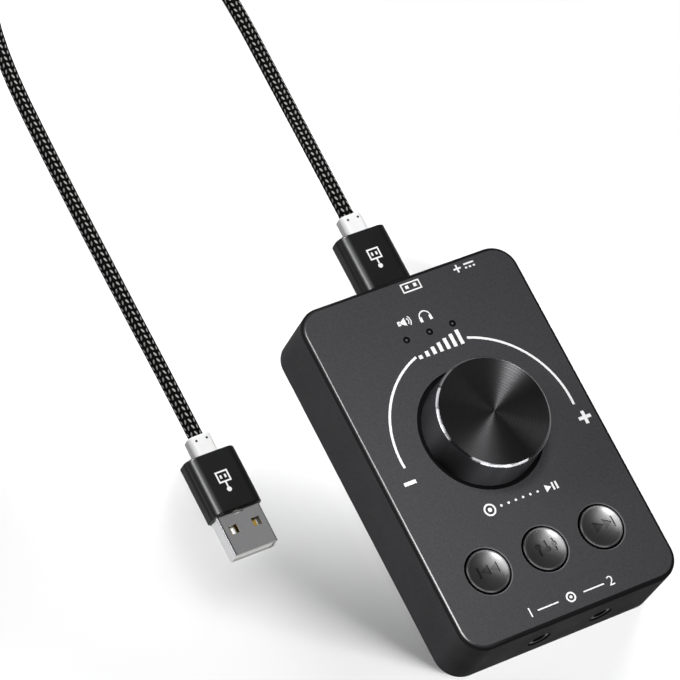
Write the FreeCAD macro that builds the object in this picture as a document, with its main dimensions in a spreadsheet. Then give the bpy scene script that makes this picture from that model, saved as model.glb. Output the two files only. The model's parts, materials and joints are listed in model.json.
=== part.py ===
import FreeCAD, Part

import math
import os
import re

import Sketcher

# A USB volume control knob: a flat desk housing with a turning and pressing dial, three push buttons,
# three indicator lights and sockets, and the cord that is plugged into its rear wall.
# Millimetres. +Z is up, +Y points at the rear wall with the USB socket, and the origin lies under the
# middle of the housing, on the surface that its feet stand on.

SIZES = {
    # Housing
    "housing_width": 62.0,
    "housing_length": 94.0,
    "housing_height": 18.2,
    "foot_proud": 0.8,
    "corner_radius": 6.5,
    "top_edge_radius": 1.2,
    "wall_thick": 2.0,
    "roof_thick": 2.2,
    "rebate_width": 1.0,
    "floor_thick": 2.0,
    "seam_gap": 0.1,
    # Posts that the screws go into, and the feet that hide the screws
    "post_x": 24.5,
    "post_y": 40.0,
    "post_radius": 3.0,
    "foot_radius": 4.0,
    "foot_sunk": 0.5,
    "foot_slack": 0.05,
    "foot_gap": 0.2,
    "foot_edge_radius": 0.3,
    "brace_x": 23.5,
    "brace_y": 2.0,
    "brace_radius": 2.6,
    # Screws
    "screw_head_radius": 1.9,
    "screw_head_height": 1.35,
    "screw_radius": 1.0,
    "screw_length": 8.0,
    "brace_screw_length": 5.5,
    "screw_hole_gap": 0.15,
    # Circuit board
    "board_width": 57.0,
    "board_length": 89.0,
    "board_radius": 4.0,
    "board_bottom": 4.15,
    "board_thick": 1.6,
    # Dial
    "dial_y": 4.3,
    "well_radius": 16.2,
    "well_depth": 1.0,
    "dial_base_radius": 15.0,
    "dial_top_radius": 14.62,
    "dial_chamfer": 0.62,
    "dial_height": 10.0,
    "dial_gap": 0.6,
    "dial_wall": 2.4,
    "dial_roof": 1.6,
    "hub_rim": 1.3,
    "hub_web": 1.5,
    "hub_boss_radius": 5.2,
    "hub_recess": 0.8,
    "hub_spoke": 1.2,
    "hub_spoke_root": 0.3,
    # Rotary encoder under the dial
    "shaft_radius": 3.0,
    "shaft_flat": 1.5,
    "shaft_end_height": 27.0,
    "shaft_flat_bottom": 19.6,
    "shaft_collar_top": 11.7,
    "shaft_collar_thick": 0.45,
    "shaft_collar_radius": 3.5,
    "shaft_drive_width": 4.0,
    "shaft_drive_radius": 0.5,
    "shaft_drive_bottom": 7.15,
    "running_gap": 0.05,
    "bushing_radius": 3.5,
    "bushing_length": 7.0,
    "bushing_hole_gap": 0.25,
    "encoder_width": 11.6,
    "encoder_height": 6.5,
    "encoder_plate": 0.5,
    "encoder_sheet": 0.3,
    "encoder_tab_width": 4.0,
    "rotor_radius": 4.5,
    "rotor_bottom": 7.9,
    "rotor_height": 2.7,
    "rotor_gap": 0.15,
    "dome_bottom": 6.05,
    "dome_radius": 2.6,
    "dome_height": 0.5,
    "dome_sheet": 0.15,
    "pin_radius": 0.4,
    "pin_below": 0.9,
    "pin_pitch": 2.5,
    "pin_row": 5.0,
    # Push buttons and the tactile switches under them
    "button_y": -29.3,
    "button_pitch": 16.4,
    "button_hole_radius": 6.0,
    "button_hole_break": 0.25,
    "button_radius": 5.45,
    "button_rim": 0.5,
    "button_rim_proud": 0.3,
    "button_dome": 0.95,
    "button_flange_radius": 7.0,
    "button_flange_thick": 1.0,
    "button_flange_gap": 0.2,
    "button_skin": 1.2,
    "button_stem_radius": 1.7,
    "switch_width": 6.0,
    "switch_height": 3.5,
    "switch_lid": 0.25,
    "plunger_radius": 1.65,
    "plunger_top": 13.2,
    "plunger_well": 1.2,
    # Indicator lights
    "light_y": 31.5,
    "light_pitch": 6.65,
    "light_hole_radius": 0.9,
    "light_pin_radius": 0.8,
    "light_pin_bottom": 7.2,
    "light_pin_setback": 0.1,
    "light_bar_thick": 1.5,
    "light_bar_width": 3.0,
    "lamp_length": 1.6,
    "lamp_width": 0.9,
    "lamp_height": 0.6,
    # USB socket in the rear wall
    "plug_level": 9.25,
    "socket_width": 13.1,
    "socket_height": 5.72,
    "socket_sheet": 0.3,
    "socket_setback": 0.2,
    "socket_length": 13.8,
    "socket_corner": 0.5,
    "socket_back": 2.8,
    "socket_leg": 1.6,
    "socket_hole_gap": 0.35,
    "tongue_width": 11.1,
    "tongue_thick": 1.5,
    "tongue_gap": 0.2,
    "tongue_setback": 1.0,
    "strip_width": 1.0,
    "strip_pitch": 2.3,
    "strip_thick": 0.12,
    "strip_length": 8.0,
    # Power socket in the rear wall
    "power_x": 16.9,
    "power_width": 7.5,
    "power_height": 2.9,
    "power_slope": 0.9,
    "power_length": 5.4,
    "power_sheet": 0.3,
    "power_hole_gap": 0.4,
    "power_tongue_width": 3.8,
    "power_tongue_thick": 0.6,
    # Audio sockets in the front wall
    "jack_left_x": -7.3,
    "jack_right_x": 10.6,
    "jack_width": 6.6,
    "jack_height": 5.4,
    "jack_length": 12.0,
    "jack_seat_gap": 0.2,
    "jack_nose_radius": 2.65,
    "jack_nose_setback": 0.35,
    "jack_hole_radius": 3.1,
    "jack_bore_radius": 1.8,
    "jack_bore_length": 11.5,
    # Chips and other parts on the board
    "audio_chip_y": 21.5,
    "chip_width": 7.4,
    "chip_height": 1.2,
    "amplifier_x": 16.0,
    "amplifier_y": -13.0,
    "small_chip_width": 3.9,
    "small_chip_length": 4.9,
    "lead_reach": 1.0,
    "lead_width": 0.5,
    "lead_thick": 0.2,
    "lead_pitch": 1.27,
    "crystal_x": 16.0,
    "crystal_length": 10.4,
    "crystal_width": 4.2,
    "crystal_height": 3.5,
    "capacitor_radius": 2.5,
    "capacitor_height": 7.0,
    "capacitor_pitch": 6.0,
    # Plugs of the cord
    "plug_body_width": 14.0,
    "plug_body_thick": 7.0,
    "plug_body_length": 15.5,
    "plug_body_radius": 2.6,
    "plug_end_radius": 0.4,
    "plug_metal_width": 12.0,
    "plug_metal_thick": 4.5,
    "plug_metal_length": 10.45,
    "plug_metal_radius": 0.6,
    "plug_metal_sheet": 0.3,
    "plug_metal_sunk": 2.0,
    "plug_window": 2.2,
    "plug_window_x": 3.1,
    "plug_window_back": 4.2,
    "notch_width": 2.6,
    "notch_length": 0.7,
    "plug_core_width": 10.8,
    "plug_core_setback": 0.4,
    "plug_core_drop": 0.15,
    "collar_width": 6.3,
    "collar_thick": 4.6,
    "collar_radius": 1.6,
    "collar_length": 5.4,
    "collar_sunk": 1.5,
    "dimple_x": 1.43,
    "dimple_back": 1.4,
    "dimple_radius": 0.28,
    "dimple_depth": 0.35,
    "near_plug_gap": 1.5,
    "far_plug_x": -61.2,
    "far_plug_y": 10.3,
    # Cord
    "cord_radius": 1.9,
    "coil_x": -28.0,
    "coil_y": 182.0,
    "coil_outer_turn": 25.9,
    "coil_inner_turn": 13.4,
    "coil_layer_rise": 3.8,
    "tie_width": 8.0,
    "tie_thick": 0.6,
}

# The cord's course where it isn't coiled, from each plug to the coil, as points of its centre line.
NEAR_ROUTE = [
    (0.0, 69.4, 9.25),
    (0.0, 82.0, 9.25),
    (3.9, 106.5, 1.95),
    (3.9, 142.0, 1.95),
    (-0.4, 161.0, 1.95),
    (-2.1, 177.5, 1.95),
]
FAR_ROUTE = [
    (-61.2, 31.2, 3.5),
    (-61.2, 44.0, 3.5),
    (-60.8, 66.0, 1.95),
    (-61.2, 106.0, 1.95),
    (-60.7, 142.0, 1.95),
    (-56.2, 161.5, 3.9),
    (-53.9, 178.0, 5.75),
]
ARC_SHARE = 0.45
SWEEP_TOLERANCE = 0.02
SAME_PLANE = 1e-4
ON_AXIS = 1e-9

SIDES = {"left": -1, "right": 1}
ENDS = {"front": -1, "rear": 1}
BUTTONS = {"previous": -1, "mode": 0, "next": 1}
LIGHTS = (-1, 0, 1)
# Where the legs and lugs stand, as shares of the length of the socket that they hold.
SOCKET_LEGS = {"front": 0.2, "rear": 0.8}
JACK_LUGS = {"front": 0.25, "rear": 0.75}
CONTACTS = 4
HUB_SPOKES = 6
CHIP_LEADS = 6
SMALL_CHIP_LEADS = 4
CAPACITORS = 3
# The encoder's pins, from its axis.
ENCODER_PINS = [("-pin_pitch", "-pin_row"), ("0", "-pin_row"), ("pin_pitch", "-pin_row"),
                ("-pin_pitch", "pin_row"), ("pin_pitch", "pin_row")]

doc = FreeCAD.newDocument("volume_knob")
sheet = doc.addObject("Spreadsheet::Sheet", "sizes")
parts = []


# ---------------------------------------------------------------- sheet and formulas

def fill_sheet():
    for row, (alias, number) in enumerate(SIZES.items(), start=1):
        sheet.set(f"A{row}", alias)
        sheet.set(f"B{row}", str(number))
        sheet.setAlias(f"B{row}", alias)
    doc.recompute()


def formula(text):
    """Turn a sum of aliases into an expression on the sheet."""
    return re.sub(r"\b([a-z]+(?:_[a-z]+)+)\b", r"sizes.\1", str(text))


def size(text):
    return float(sheet.evalExpression(formula(text)))


def bind(feature, **formulas):
    for name, text in formulas.items():
        feature.setExpression(name, formula(text))


def bind_place(feature, x=None, y=None, z=None, holder="Placement"):
    for letter, text in (("x", x), ("y", y), ("z", z)):
        if text is not None:
            feature.setExpression(f"{holder}.Base.{letter}", formula(text))


# Heights and planes that several sub-parts share, as formulas.
HOUSING_TOP = "(foot_proud + housing_height)"
ROOF_UNDERSIDE = f"({HOUSING_TOP} - roof_thick)"
PLATE_TOP = "(foot_proud + floor_thick)"
BOARD_TOP = "(board_bottom + board_thick)"
HEAD_SEAT = "(foot_proud + foot_sunk + foot_slack + screw_head_height)"
REAR_FACE = "(housing_length / 2)"
FRONT_FACE = "(-housing_length / 2)"
JACK_LEVEL = f"({BOARD_TOP} + jack_height / 2)"
ENCODER_TOP = f"({BOARD_TOP} + encoder_height)"
DIAL_BOTTOM = f"({HOUSING_TOP} - well_depth + dial_gap)"
DIAL_TOP = f"({HOUSING_TOP} + dial_height)"
SOCKET_FRONT = f"({REAR_FACE} - socket_setback)"
NEAR_PLUG_Y = f"({REAR_FACE} + near_plug_gap)"


# ---------------------------------------------------------------- bodies, sketches and features

def new_body(label, x=None, y=None, z=None):
    body = doc.addObject("PartDesign::Body", label)
    body.Label = label
    bind_place(body, x, y, z)
    parts.append(body)
    return body


def origin_plane(body, role):
    return next(plane for plane in body.Origin.OriginFeatures if plane.Role == role)


def new_sketch(body, name, plane="XY_Plane", level="0"):
    """Attach a sketch to an origin plane of its body, moved along its axis to a level."""
    sketch = body.newObject("Sketcher::SketchObject", name)
    sketch.AttachmentSupport = [(origin_plane(body, plane), "")]
    sketch.MapMode = "FlatFace"
    sign = "-" if plane == "XZ_Plane" else ""
    bind_place(sketch, z=f"{sign}({level})", holder="AttachmentOffset")
    return sketch


def constrain(sketch, text, kind, *where):
    """Add one constraint whose value follows a formula."""
    index = sketch.addConstraint(Sketcher.Constraint(kind, *where, size(text)))
    sketch.setExpression(f"Constraints[{index}]", formula(text))


def pin_point(sketch, geometry, end, x, y):
    """Hold one point of a sketch at a place given by two formulas."""
    for text, kind, axis in ((x, "DistanceX", -2), (y, "DistanceY", -1)):
        if abs(size(text)) < ON_AXIS:
            sketch.addConstraint(Sketcher.Constraint("PointOnObject", geometry, end, axis))
        else:
            constrain(sketch, text, kind, -1, 1, geometry, end)


def draw_circle(sketch, x, y, radius):
    centre = FreeCAD.Vector(size(x), size(y), 0)
    circle = sketch.addGeometry(Part.Circle(centre, FreeCAD.Vector(0, 0, 1), size(radius)))
    constrain(sketch, radius, "Radius", circle)
    pin_point(sketch, circle, 3, x, y)


def draw_rounded_rectangle(sketch, x, y, width, depth, radius):
    """Draw a rectangle about a centre, with four equal round corners."""
    left, right = f"({x}) - ({width}) / 2", f"({x}) + ({width}) / 2"
    low, high = f"({y}) - ({depth}) / 2", f"({y}) + ({depth}) / 2"
    x0, x1, y0, y1, r = size(left), size(right), size(low), size(high), size(radius)
    up = FreeCAD.Vector(0, 0, 1)
    corners = [(x1 - r, y0 + r, -90), (x1 - r, y1 - r, 0), (x0 + r, y1 - r, 90), (x0 + r, y0 + r, 180)]
    lines = [((x0 + r, y0), (x1 - r, y0)), ((x1, y0 + r), (x1, y1 - r)),
             ((x1 - r, y1), (x0 + r, y1)), ((x0, y1 - r), (x0, y0 + r))]
    sides, arcs = [], []
    for (start, end), (cx, cy, angle) in zip(lines, corners):
        sides.append(sketch.addGeometry(
            Part.LineSegment(FreeCAD.Vector(*start, 0), FreeCAD.Vector(*end, 0))))
        circle = Part.Circle(FreeCAD.Vector(cx, cy, 0), up, r)
        arcs.append(sketch.addGeometry(
            Part.ArcOfCircle(circle, math.radians(angle), math.radians(angle + 90))))
    for index in range(4):
        sketch.addConstraint(Sketcher.Constraint("Tangent", sides[index], 2, arcs[index], 1))
        sketch.addConstraint(Sketcher.Constraint("Tangent", arcs[index], 2, sides[(index + 1) % 4], 1))
        kind = "Horizontal" if index % 2 == 0 else "Vertical"
        sketch.addConstraint(Sketcher.Constraint(kind, sides[index]))
    for arc in arcs[1:]:
        sketch.addConstraint(Sketcher.Constraint("Equal", arcs[0], arc))
    constrain(sketch, radius, "Radius", arcs[0])
    constrain(sketch, low, "DistanceY", -1, 1, sides[0], 1)
    constrain(sketch, right, "DistanceX", -1, 1, sides[1], 1)
    constrain(sketch, high, "DistanceY", -1, 1, sides[2], 1)
    constrain(sketch, left, "DistanceX", -1, 1, sides[3], 1)


def draw_outline(sketch, points, domes=()):
    """Draw a closed loop through points; the sides numbered in domes are arcs centred on the axis."""
    places = [FreeCAD.Vector(size(x), size(y), 0) for x, y in points]
    starts, ends = [], []
    for index, start in enumerate(places):
        end = places[(index + 1) % len(places)]
        if index not in domes:
            geometry = sketch.addGeometry(Part.LineSegment(start, end))
            starts.append((geometry, 1))
            ends.append((geometry, 2))
            continue
        height = (start.dot(start) - end.dot(end)) / (2 * (start.y - end.y))
        centre = FreeCAD.Vector(0, height, 0)
        first, last = (math.atan2(p.y - height, p.x) for p in (start, end))
        circle = Part.Circle(centre, FreeCAD.Vector(0, 0, 1), start.distanceToPoint(centre))
        forward = last > first
        arc = Part.ArcOfCircle(circle, min(first, last), max(first, last))
        geometry = sketch.addGeometry(arc)
        sketch.addConstraint(Sketcher.Constraint("PointOnObject", geometry, 3, -2))
        starts.append((geometry, 1 if forward else 2))
        ends.append((geometry, 2 if forward else 1))
    for index, (x, y) in enumerate(points):
        before = ends[index - 1]
        sketch.addConstraint(Sketcher.Constraint("Coincident", *before, *starts[index]))
        pin_point(sketch, *starts[index], x, y)


def extrude(body, name, sketch, length, toward=1, cut=False):
    """Pad or pocket a sketch towards the plus or minus side of its plane's axis in the body."""
    before = body.Shape.Volume if body.Tip else 0.0
    feature = body.newObject("PartDesign::Pocket" if cut else "PartDesign::Pad", name)
    feature.Profile = sketch
    feature.setExpression("Length", formula(length))
    facing_back = "XZ_Plane" in [plane.Role for plane, _ in sketch.AttachmentSupport]
    forward = (toward > 0) != facing_back
    feature.Reversed = forward if cut else not forward
    sketch.Visibility = False
    doc.recompute()
    change = body.Shape.Volume - before
    if (change >= 0) == cut:
        raise RuntimeError(f"{body.Label}: {name} changed the volume by {change:.3f}")
    return feature


def revolve(body, name, points, domes=()):
    """Turn a profile of radius and height about the body's vertical axis."""
    sketch = new_sketch(body, name + "_profile", "XZ_Plane")
    draw_outline(sketch, points, domes)
    feature = body.newObject("PartDesign::Revolution", name)
    feature.Profile = sketch
    feature.ReferenceAxis = (sketch, ["V_Axis"])
    feature.Angle = 360
    doc.recompute()
    return feature


def block(body, name, x, y, z, width, depth, height, cut=False):
    """Add or cut a box that is centred on x and y and rises from z."""
    kind = "PartDesign::SubtractiveBox" if cut else "PartDesign::AdditiveBox"
    feature = body.newObject(kind, name)
    bind(feature, Length=width, Width=depth, Height=height)
    bind_place(feature, f"({x}) - ({width}) / 2", f"({y}) - ({depth}) / 2", z)
    doc.recompute()
    return feature


def rod(body, name, x, y, z, radius, length, along="Z", cut=False):
    """Add or cut a cylinder that starts at a point and runs along +Z or +Y."""
    kind = "PartDesign::SubtractiveCylinder" if cut else "PartDesign::AdditiveCylinder"
    feature = body.newObject(kind, name)
    if along == "Y":
        feature.Placement.Rotation = FreeCAD.Rotation(FreeCAD.Vector(1, 0, 0), -90)
    bind(feature, Radius=radius, Height=length)
    bind_place(feature, x, y, z)
    doc.recompute()
    return feature


def dress(body, kind, name, amount, wanted):
    """Fillet or chamfer the edges of the tip that a test picks out."""
    base = body.Tip
    edges = [f"Edge{index}" for index, edge in enumerate(base.Shape.Edges, start=1) if wanted(edge)]
    if not edges:
        raise RuntimeError(f"{body.Label}: {name} found no edges")
    feature = body.newObject(f"PartDesign::{kind}", name)
    feature.Base = (base, edges)
    feature.setExpression("Size" if kind == "Chamfer" else "Radius", formula(amount))
    doc.recompute()
    return feature


def lies_at(edge, axis, level):
    """Tell whether an edge lies in the plane at a level of an axis."""
    box = edge.BoundBox
    low, high = getattr(box, axis + "Min"), getattr(box, axis + "Max")
    return abs(low - level) < SAME_PLANE and abs(high - level) < SAME_PLANE


# ---------------------------------------------------------------- housing

def make_top_cover():
    body = new_body("top_cover")
    add_cover_shell(body)
    add_cover_posts(body)
    cut_top_openings(body)
    cut_rear_openings(body)
    cut_front_openings(body)


def add_cover_shell(body):
    footprint = new_sketch(body, "footprint", level="foot_proud")
    draw_rounded_rectangle(footprint, "0", "0", "housing_width", "housing_length", "corner_radius")
    extrude(body, "block_out", footprint, "housing_height")
    top = size(HOUSING_TOP)
    dress(body, "Fillet", "top_edge", "top_edge_radius", lambda edge: lies_at(edge, "Z", top))

    hollow = new_sketch(body, "hollow", level="foot_proud")
    draw_rounded_rectangle(hollow, "0", "0", "housing_width - 2 * wall_thick",
                           "housing_length - 2 * wall_thick", "corner_radius - wall_thick")
    extrude(body, "cavity", hollow, "housing_height - roof_thick", cut=True)

    rebate = new_sketch(body, "rebate", level="foot_proud")
    draw_rounded_rectangle(rebate, "0", "0", "housing_width - 2 * rebate_width",
                           "housing_length - 2 * rebate_width", "corner_radius - rebate_width")
    extrude(body, "floor_rebate", rebate, "floor_thick", cut=True)


def add_cover_posts(body):
    """Add the four corner posts and the two braces, with the holes that the screws bite into."""
    height = f"{ROOF_UNDERSIDE} - {BOARD_TOP}"
    for name, x, y, radius, screw in (
            ("post", "post_x", "post_y", "post_radius", f"screw_length - ({BOARD_TOP} - {HEAD_SEAT})"),
            ("brace", "brace_x", "brace_y", "brace_radius", "brace_screw_length - board_thick")):
        solid = new_sketch(body, name + "_rings", level=BOARD_TOP)
        holes = new_sketch(body, name + "_holes", level=BOARD_TOP)
        for side in SIDES.values():
            for end in ENDS.values() if name == "post" else (1,):
                draw_circle(solid, f"{side} * {x}", f"{end} * {y}", radius)
                draw_circle(holes, f"{side} * {x}", f"{end} * {y}", "screw_radius")
        extrude(body, name + "_columns", solid, height)
        extrude(body, name + "_bores", holes, screw, cut=True)


def cut_top_openings(body):
    """Cut the dial's well, the hole of its bushing, the button holes and the light holes."""
    well = new_sketch(body, "well", level=HOUSING_TOP)
    draw_circle(well, "0", "dial_y", "well_radius")
    extrude(body, "dial_well", well, "well_depth", toward=-1, cut=True)

    through = new_sketch(body, "through_holes", level=HOUSING_TOP)
    draw_circle(through, "0", "dial_y", "bushing_radius + bushing_hole_gap")
    for place in BUTTONS.values():
        draw_circle(through, f"{place} * button_pitch", "button_y", "button_hole_radius")
    for place in LIGHTS:
        draw_circle(through, f"{place} * light_pitch", "light_y", "light_hole_radius")
    extrude(body, "roof_holes", through, "roof_thick", toward=-1, cut=True)
    top, radius = size(HOUSING_TOP), size("button_hole_radius")
    dress(body, "Chamfer", "button_hole_edges", "button_hole_break",
          lambda edge: lies_at(edge, "Z", top) and abs(edge.BoundBox.XLength - 2 * radius) < SAME_PLANE)


def cut_rear_openings(body):
    usb = new_sketch(body, "usb_opening", "XZ_Plane", REAR_FACE)
    draw_rounded_rectangle(usb, "0", "plug_level", "socket_width + 2 * socket_hole_gap",
                           "socket_height + 2 * socket_hole_gap", "socket_corner + socket_hole_gap")
    extrude(body, "usb_window", usb, "wall_thick", toward=-1, cut=True)

    power = new_sketch(body, "power_opening", "XZ_Plane", REAR_FACE)
    draw_rounded_rectangle(power, "power_x", f"{BOARD_TOP} + power_height / 2",
                           "power_width + 2 * power_hole_gap",
                           "power_height + 2 * power_hole_gap", "socket_corner")
    extrude(body, "power_window", power, "wall_thick", toward=-1, cut=True)


def cut_front_openings(body):
    jacks = new_sketch(body, "jack_openings", "XZ_Plane", FRONT_FACE)
    for side in SIDES:
        draw_circle(jacks, f"jack_{side}_x", JACK_LEVEL, "jack_hole_radius")
    extrude(body, "jack_windows", jacks, "wall_thick", toward=1, cut=True)


def make_bottom_cover():
    """The floor plate: it sits in the rebate of the walls and carries the board on four spacers."""
    body = new_body("bottom_cover")
    slack = "2 * rebate_width + 2 * seam_gap"
    plate = new_sketch(body, "plate", level="foot_proud")
    draw_rounded_rectangle(plate, "0", "0", f"housing_width - ({slack})", f"housing_length - ({slack})",
                           "corner_radius - rebate_width - seam_gap")
    extrude(body, "floor", plate, "floor_thick")
    spacers = new_sketch(body, "spacers", level=PLATE_TOP)
    recesses = new_sketch(body, "foot_rings", level="foot_proud")
    heads = new_sketch(body, "head_rings", level="foot_proud")
    shanks = new_sketch(body, "shank_rings", level="foot_proud")
    for side in SIDES.values():
        for end in ENDS.values():
            place = (f"{side} * post_x", f"{end} * post_y")
            draw_circle(spacers, *place, "post_radius")
            draw_circle(recesses, *place, "foot_radius + foot_gap")
            draw_circle(heads, *place, "screw_head_radius + screw_hole_gap")
            draw_circle(shanks, *place, "screw_radius + screw_hole_gap")
    extrude(body, "spacer_columns", spacers, f"board_bottom - {PLATE_TOP}")
    extrude(body, "foot_recesses", recesses, "foot_sunk", cut=True)
    extrude(body, "head_bores", heads, f"{HEAD_SEAT} - foot_proud", cut=True)
    extrude(body, "shank_bores", shanks, "board_bottom - foot_proud", cut=True)


def make_feet():
    for end_name, end in ENDS.items():
        for side_name, side in SIDES.items():
            body = new_body(f"foot_{end_name}_{side_name}", f"{side} * post_x", f"{end} * post_y", "0")
            height = "foot_proud + foot_sunk"
            revolve(body, "pad", [("0", "0"), ("foot_radius", "0"), ("foot_radius", height), ("0", height)])
            dress(body, "Fillet", "pad_edge", "foot_edge_radius", lambda edge: lies_at(edge, "Z", 0.0))


def make_screws(label, x, y, ends, seat, length):
    """Pan-head screws with their heads down, mirrored across the housing and, with two ends, along it."""
    body = new_body(label, f"-{x}", f"-{y}" if ends == 2 else y, "0")
    head, shank, tip = "screw_head_radius", "screw_radius", f"{seat} + {length}"
    screw = revolve(body, "screw", [
        ("0", f"{seat} - screw_head_height"), (head, f"{seat} - screw_head_height"), (head, seat),
        (shank, seat), (shank, f"{tip} - {shank}"), ("0", tip)])
    repeat(body, "places", screw, {"X_Axis": f"2 * {x}", "Y_Axis": f"2 * {y}" if ends == 2 else None})


def repeat(body, name, feature, reaches, count=2):
    """Repeat a feature evenly along one or two axes over given reaches."""
    grid = body.newObject("PartDesign::MultiTransform", name)
    grid.Originals = [feature]
    steps = []
    for axis, reach in reaches.items():
        if reach is None:
            continue
        step = body.newObject("PartDesign::LinearPattern", f"{name}_{axis}")
        step.Direction = (origin_plane(body, axis), [""])
        step.Occurrences = count
        bind(step, Length=reach)
        steps.append(step)
    grid.Transformations = steps
    body.Tip = grid
    doc.recompute()


# ---------------------------------------------------------------- circuit board and what stands on it

def make_board():
    body = new_body("main_board")
    outline = new_sketch(body, "outline", level="board_bottom")
    draw_rounded_rectangle(outline, "0", "0", "board_width", "board_length", "board_radius")
    extrude(body, "board", outline, "board_thick")
    holes = new_sketch(body, "holes", level="board_bottom")
    hole = "screw_radius + screw_hole_gap"
    for side in SIDES.values():
        draw_circle(holes, f"{side} * brace_x", "brace_y", hole)
        for end in ENDS.values():
            draw_circle(holes, f"{side} * post_x", f"{end} * post_y", hole)
    for x, y in ENCODER_PINS:
        draw_circle(holes, x, f"dial_y + {y}", "pin_radius + screw_hole_gap")
    extrude(body, "drilling", holes, "board_thick", cut=True)


def make_encoder():
    """The encoder stands still on the board: base, sheet-metal frame, bushing, dome and pins."""
    base = new_body("encoder_base", "0", "dial_y", "0")
    block(base, "moulding", "0", "0", BOARD_TOP, "encoder_width", "encoder_width",
          "encoder_height - encoder_plate")
    rod(base, "rotor_room", "0", "0", "rotor_bottom - rotor_gap", "rotor_radius + rotor_gap",
        f"{ENCODER_TOP} - encoder_plate - rotor_bottom + rotor_gap", cut=True)
    rod(base, "dome_room", "0", "0", "dome_bottom", "dome_radius + rotor_gap",
        "rotor_bottom - dome_bottom", cut=True)

    frame = new_body("encoder_frame", "0", "dial_y", "0")
    block(frame, "plate", "0", "0", f"{ENCODER_TOP} - encoder_plate",
          "encoder_width + 2 * encoder_sheet", "encoder_width", "encoder_plate")
    for name, side in SIDES.items():
        block(frame, f"{name}_tab", f"{side} * (encoder_width + encoder_sheet) / 2", "0", BOARD_TOP,
              "encoder_sheet", "encoder_tab_width", "encoder_height - encoder_plate")
    rod(frame, "shaft_hole", "0", "0", f"{ENCODER_TOP} - encoder_plate", "shaft_radius + running_gap",
        "encoder_plate", cut=True)

    bushing = new_body("encoder_bushing", "0", "dial_y", "0")
    rod(bushing, "sleeve", "0", "0", ENCODER_TOP, "bushing_radius", "bushing_length")
    rod(bushing, "shaft_bore", "0", "0", ENCODER_TOP, "shaft_radius + running_gap", "bushing_length",
        cut=True)

    dome = new_body("encoder_dome", "0", "dial_y", "0")
    crown = "dome_bottom + dome_height"
    revolve(dome, "snap_disc", [("0", crown), ("dome_radius", "dome_bottom"),
                                ("dome_radius - 2 * dome_sheet", "dome_bottom"),
                                ("0", f"{crown} - dome_sheet")], domes=(0, 2))

    pins = new_body("encoder_pins", "0", "dial_y", "0")
    for index, (x, y) in enumerate(ENCODER_PINS):
        rod(pins, f"pin_{index}", x, y, "board_bottom - pin_below", "pin_radius",
            "board_thick + pin_below")


def make_encoder_rotor():
    """The rotor turns with the shaft, which slides through its square hole when the dial is pressed."""
    body = new_body("encoder_rotor", "0", "dial_y", "0")
    rod(body, "disc", "0", "0", "rotor_bottom", "rotor_radius", "rotor_height")
    hole = new_sketch(body, "square_hole", level="rotor_bottom")
    opening = "shaft_drive_width + 2 * running_gap"
    draw_rounded_rectangle(hole, "0", "0", opening, opening, "shaft_drive_radius")
    extrude(body, "drive_hole", hole, "rotor_height", cut=True)


def make_encoder_shaft():
    body = new_body("encoder_shaft", "0", "dial_y", "0")
    rod(body, "stem", "0", "0", "shaft_collar_top", "shaft_radius", "shaft_end_height - shaft_collar_top")
    rod(body, "collar", "0", "0", "shaft_collar_top - shaft_collar_thick", "shaft_collar_radius",
        "shaft_collar_thick")
    drive = new_sketch(body, "drive_outline", level="shaft_drive_bottom")
    draw_rounded_rectangle(drive, "0", "0", "shaft_drive_width", "shaft_drive_width",
                           "shaft_drive_radius")
    extrude(body, "drive", drive, "shaft_collar_top - shaft_drive_bottom")
    block(body, "key_flat", "shaft_flat + shaft_radius / 2", "0", "shaft_flat_bottom", "shaft_radius",
          "2 * shaft_radius", "shaft_end_height - shaft_flat_bottom", cut=True)


# ---------------------------------------------------------------- dial

def make_dial():
    """A turned metal cap pressed over a moulded hub that grips the encoder's shaft."""
    cap = new_body("dial_cap", "0", "dial_y", "0")
    inner = "dial_base_radius - dial_wall"
    ceiling = f"({DIAL_TOP} - dial_roof)"
    revolve(cap, "turning", [
        (inner, DIAL_BOTTOM), ("dial_base_radius", DIAL_BOTTOM),
        ("dial_top_radius", f"{DIAL_TOP} - dial_chamfer"), ("dial_top_radius - dial_chamfer", DIAL_TOP),
        ("0", DIAL_TOP), ("0", ceiling), (inner, ceiling)])

    hub = new_body("dial_hub", "0", "dial_y", "0")
    rim_bottom = f"{DIAL_BOTTOM} + hub_recess"
    web_bottom = f"({ceiling} - hub_web)"
    boss_bottom = f"({ENCODER_TOP} + bushing_length + hub_recess)"
    revolve(hub, "moulding", [
        ("0", ceiling), ("0", boss_bottom), ("hub_boss_radius", boss_bottom),
        ("hub_boss_radius", web_bottom), (f"{inner} - hub_rim", web_bottom),
        (f"{inner} - hub_rim", rim_bottom), (inner, rim_bottom), (inner, ceiling)])
    reach = f"{inner} - hub_rim - hub_boss_radius + 2 * hub_spoke_root"
    spoke = block(hub, "spoke", f"({inner} - hub_rim + hub_boss_radius) / 2", "0",
                  f"{boss_bottom} + hub_recess", reach, "hub_spoke",
                  f"{web_bottom} - {boss_bottom} - hub_recess")
    spokes = hub.newObject("PartDesign::PolarPattern", "spokes")
    spokes.Originals = [spoke]
    spokes.Axis = (origin_plane(hub, "Z_Axis"), [""])
    spokes.Angle = 360
    spokes.Occurrences = HUB_SPOKES
    hub.Tip = spokes
    doc.recompute()
    bore = new_sketch(hub, "bore_outline", level="shaft_end_height")
    draw_key_hole(bore, "shaft_radius + running_gap", "shaft_flat + running_gap")
    extrude(hub, "shaft_bore", bore, f"shaft_end_height - {boss_bottom}", toward=-1, cut=True)


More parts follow.
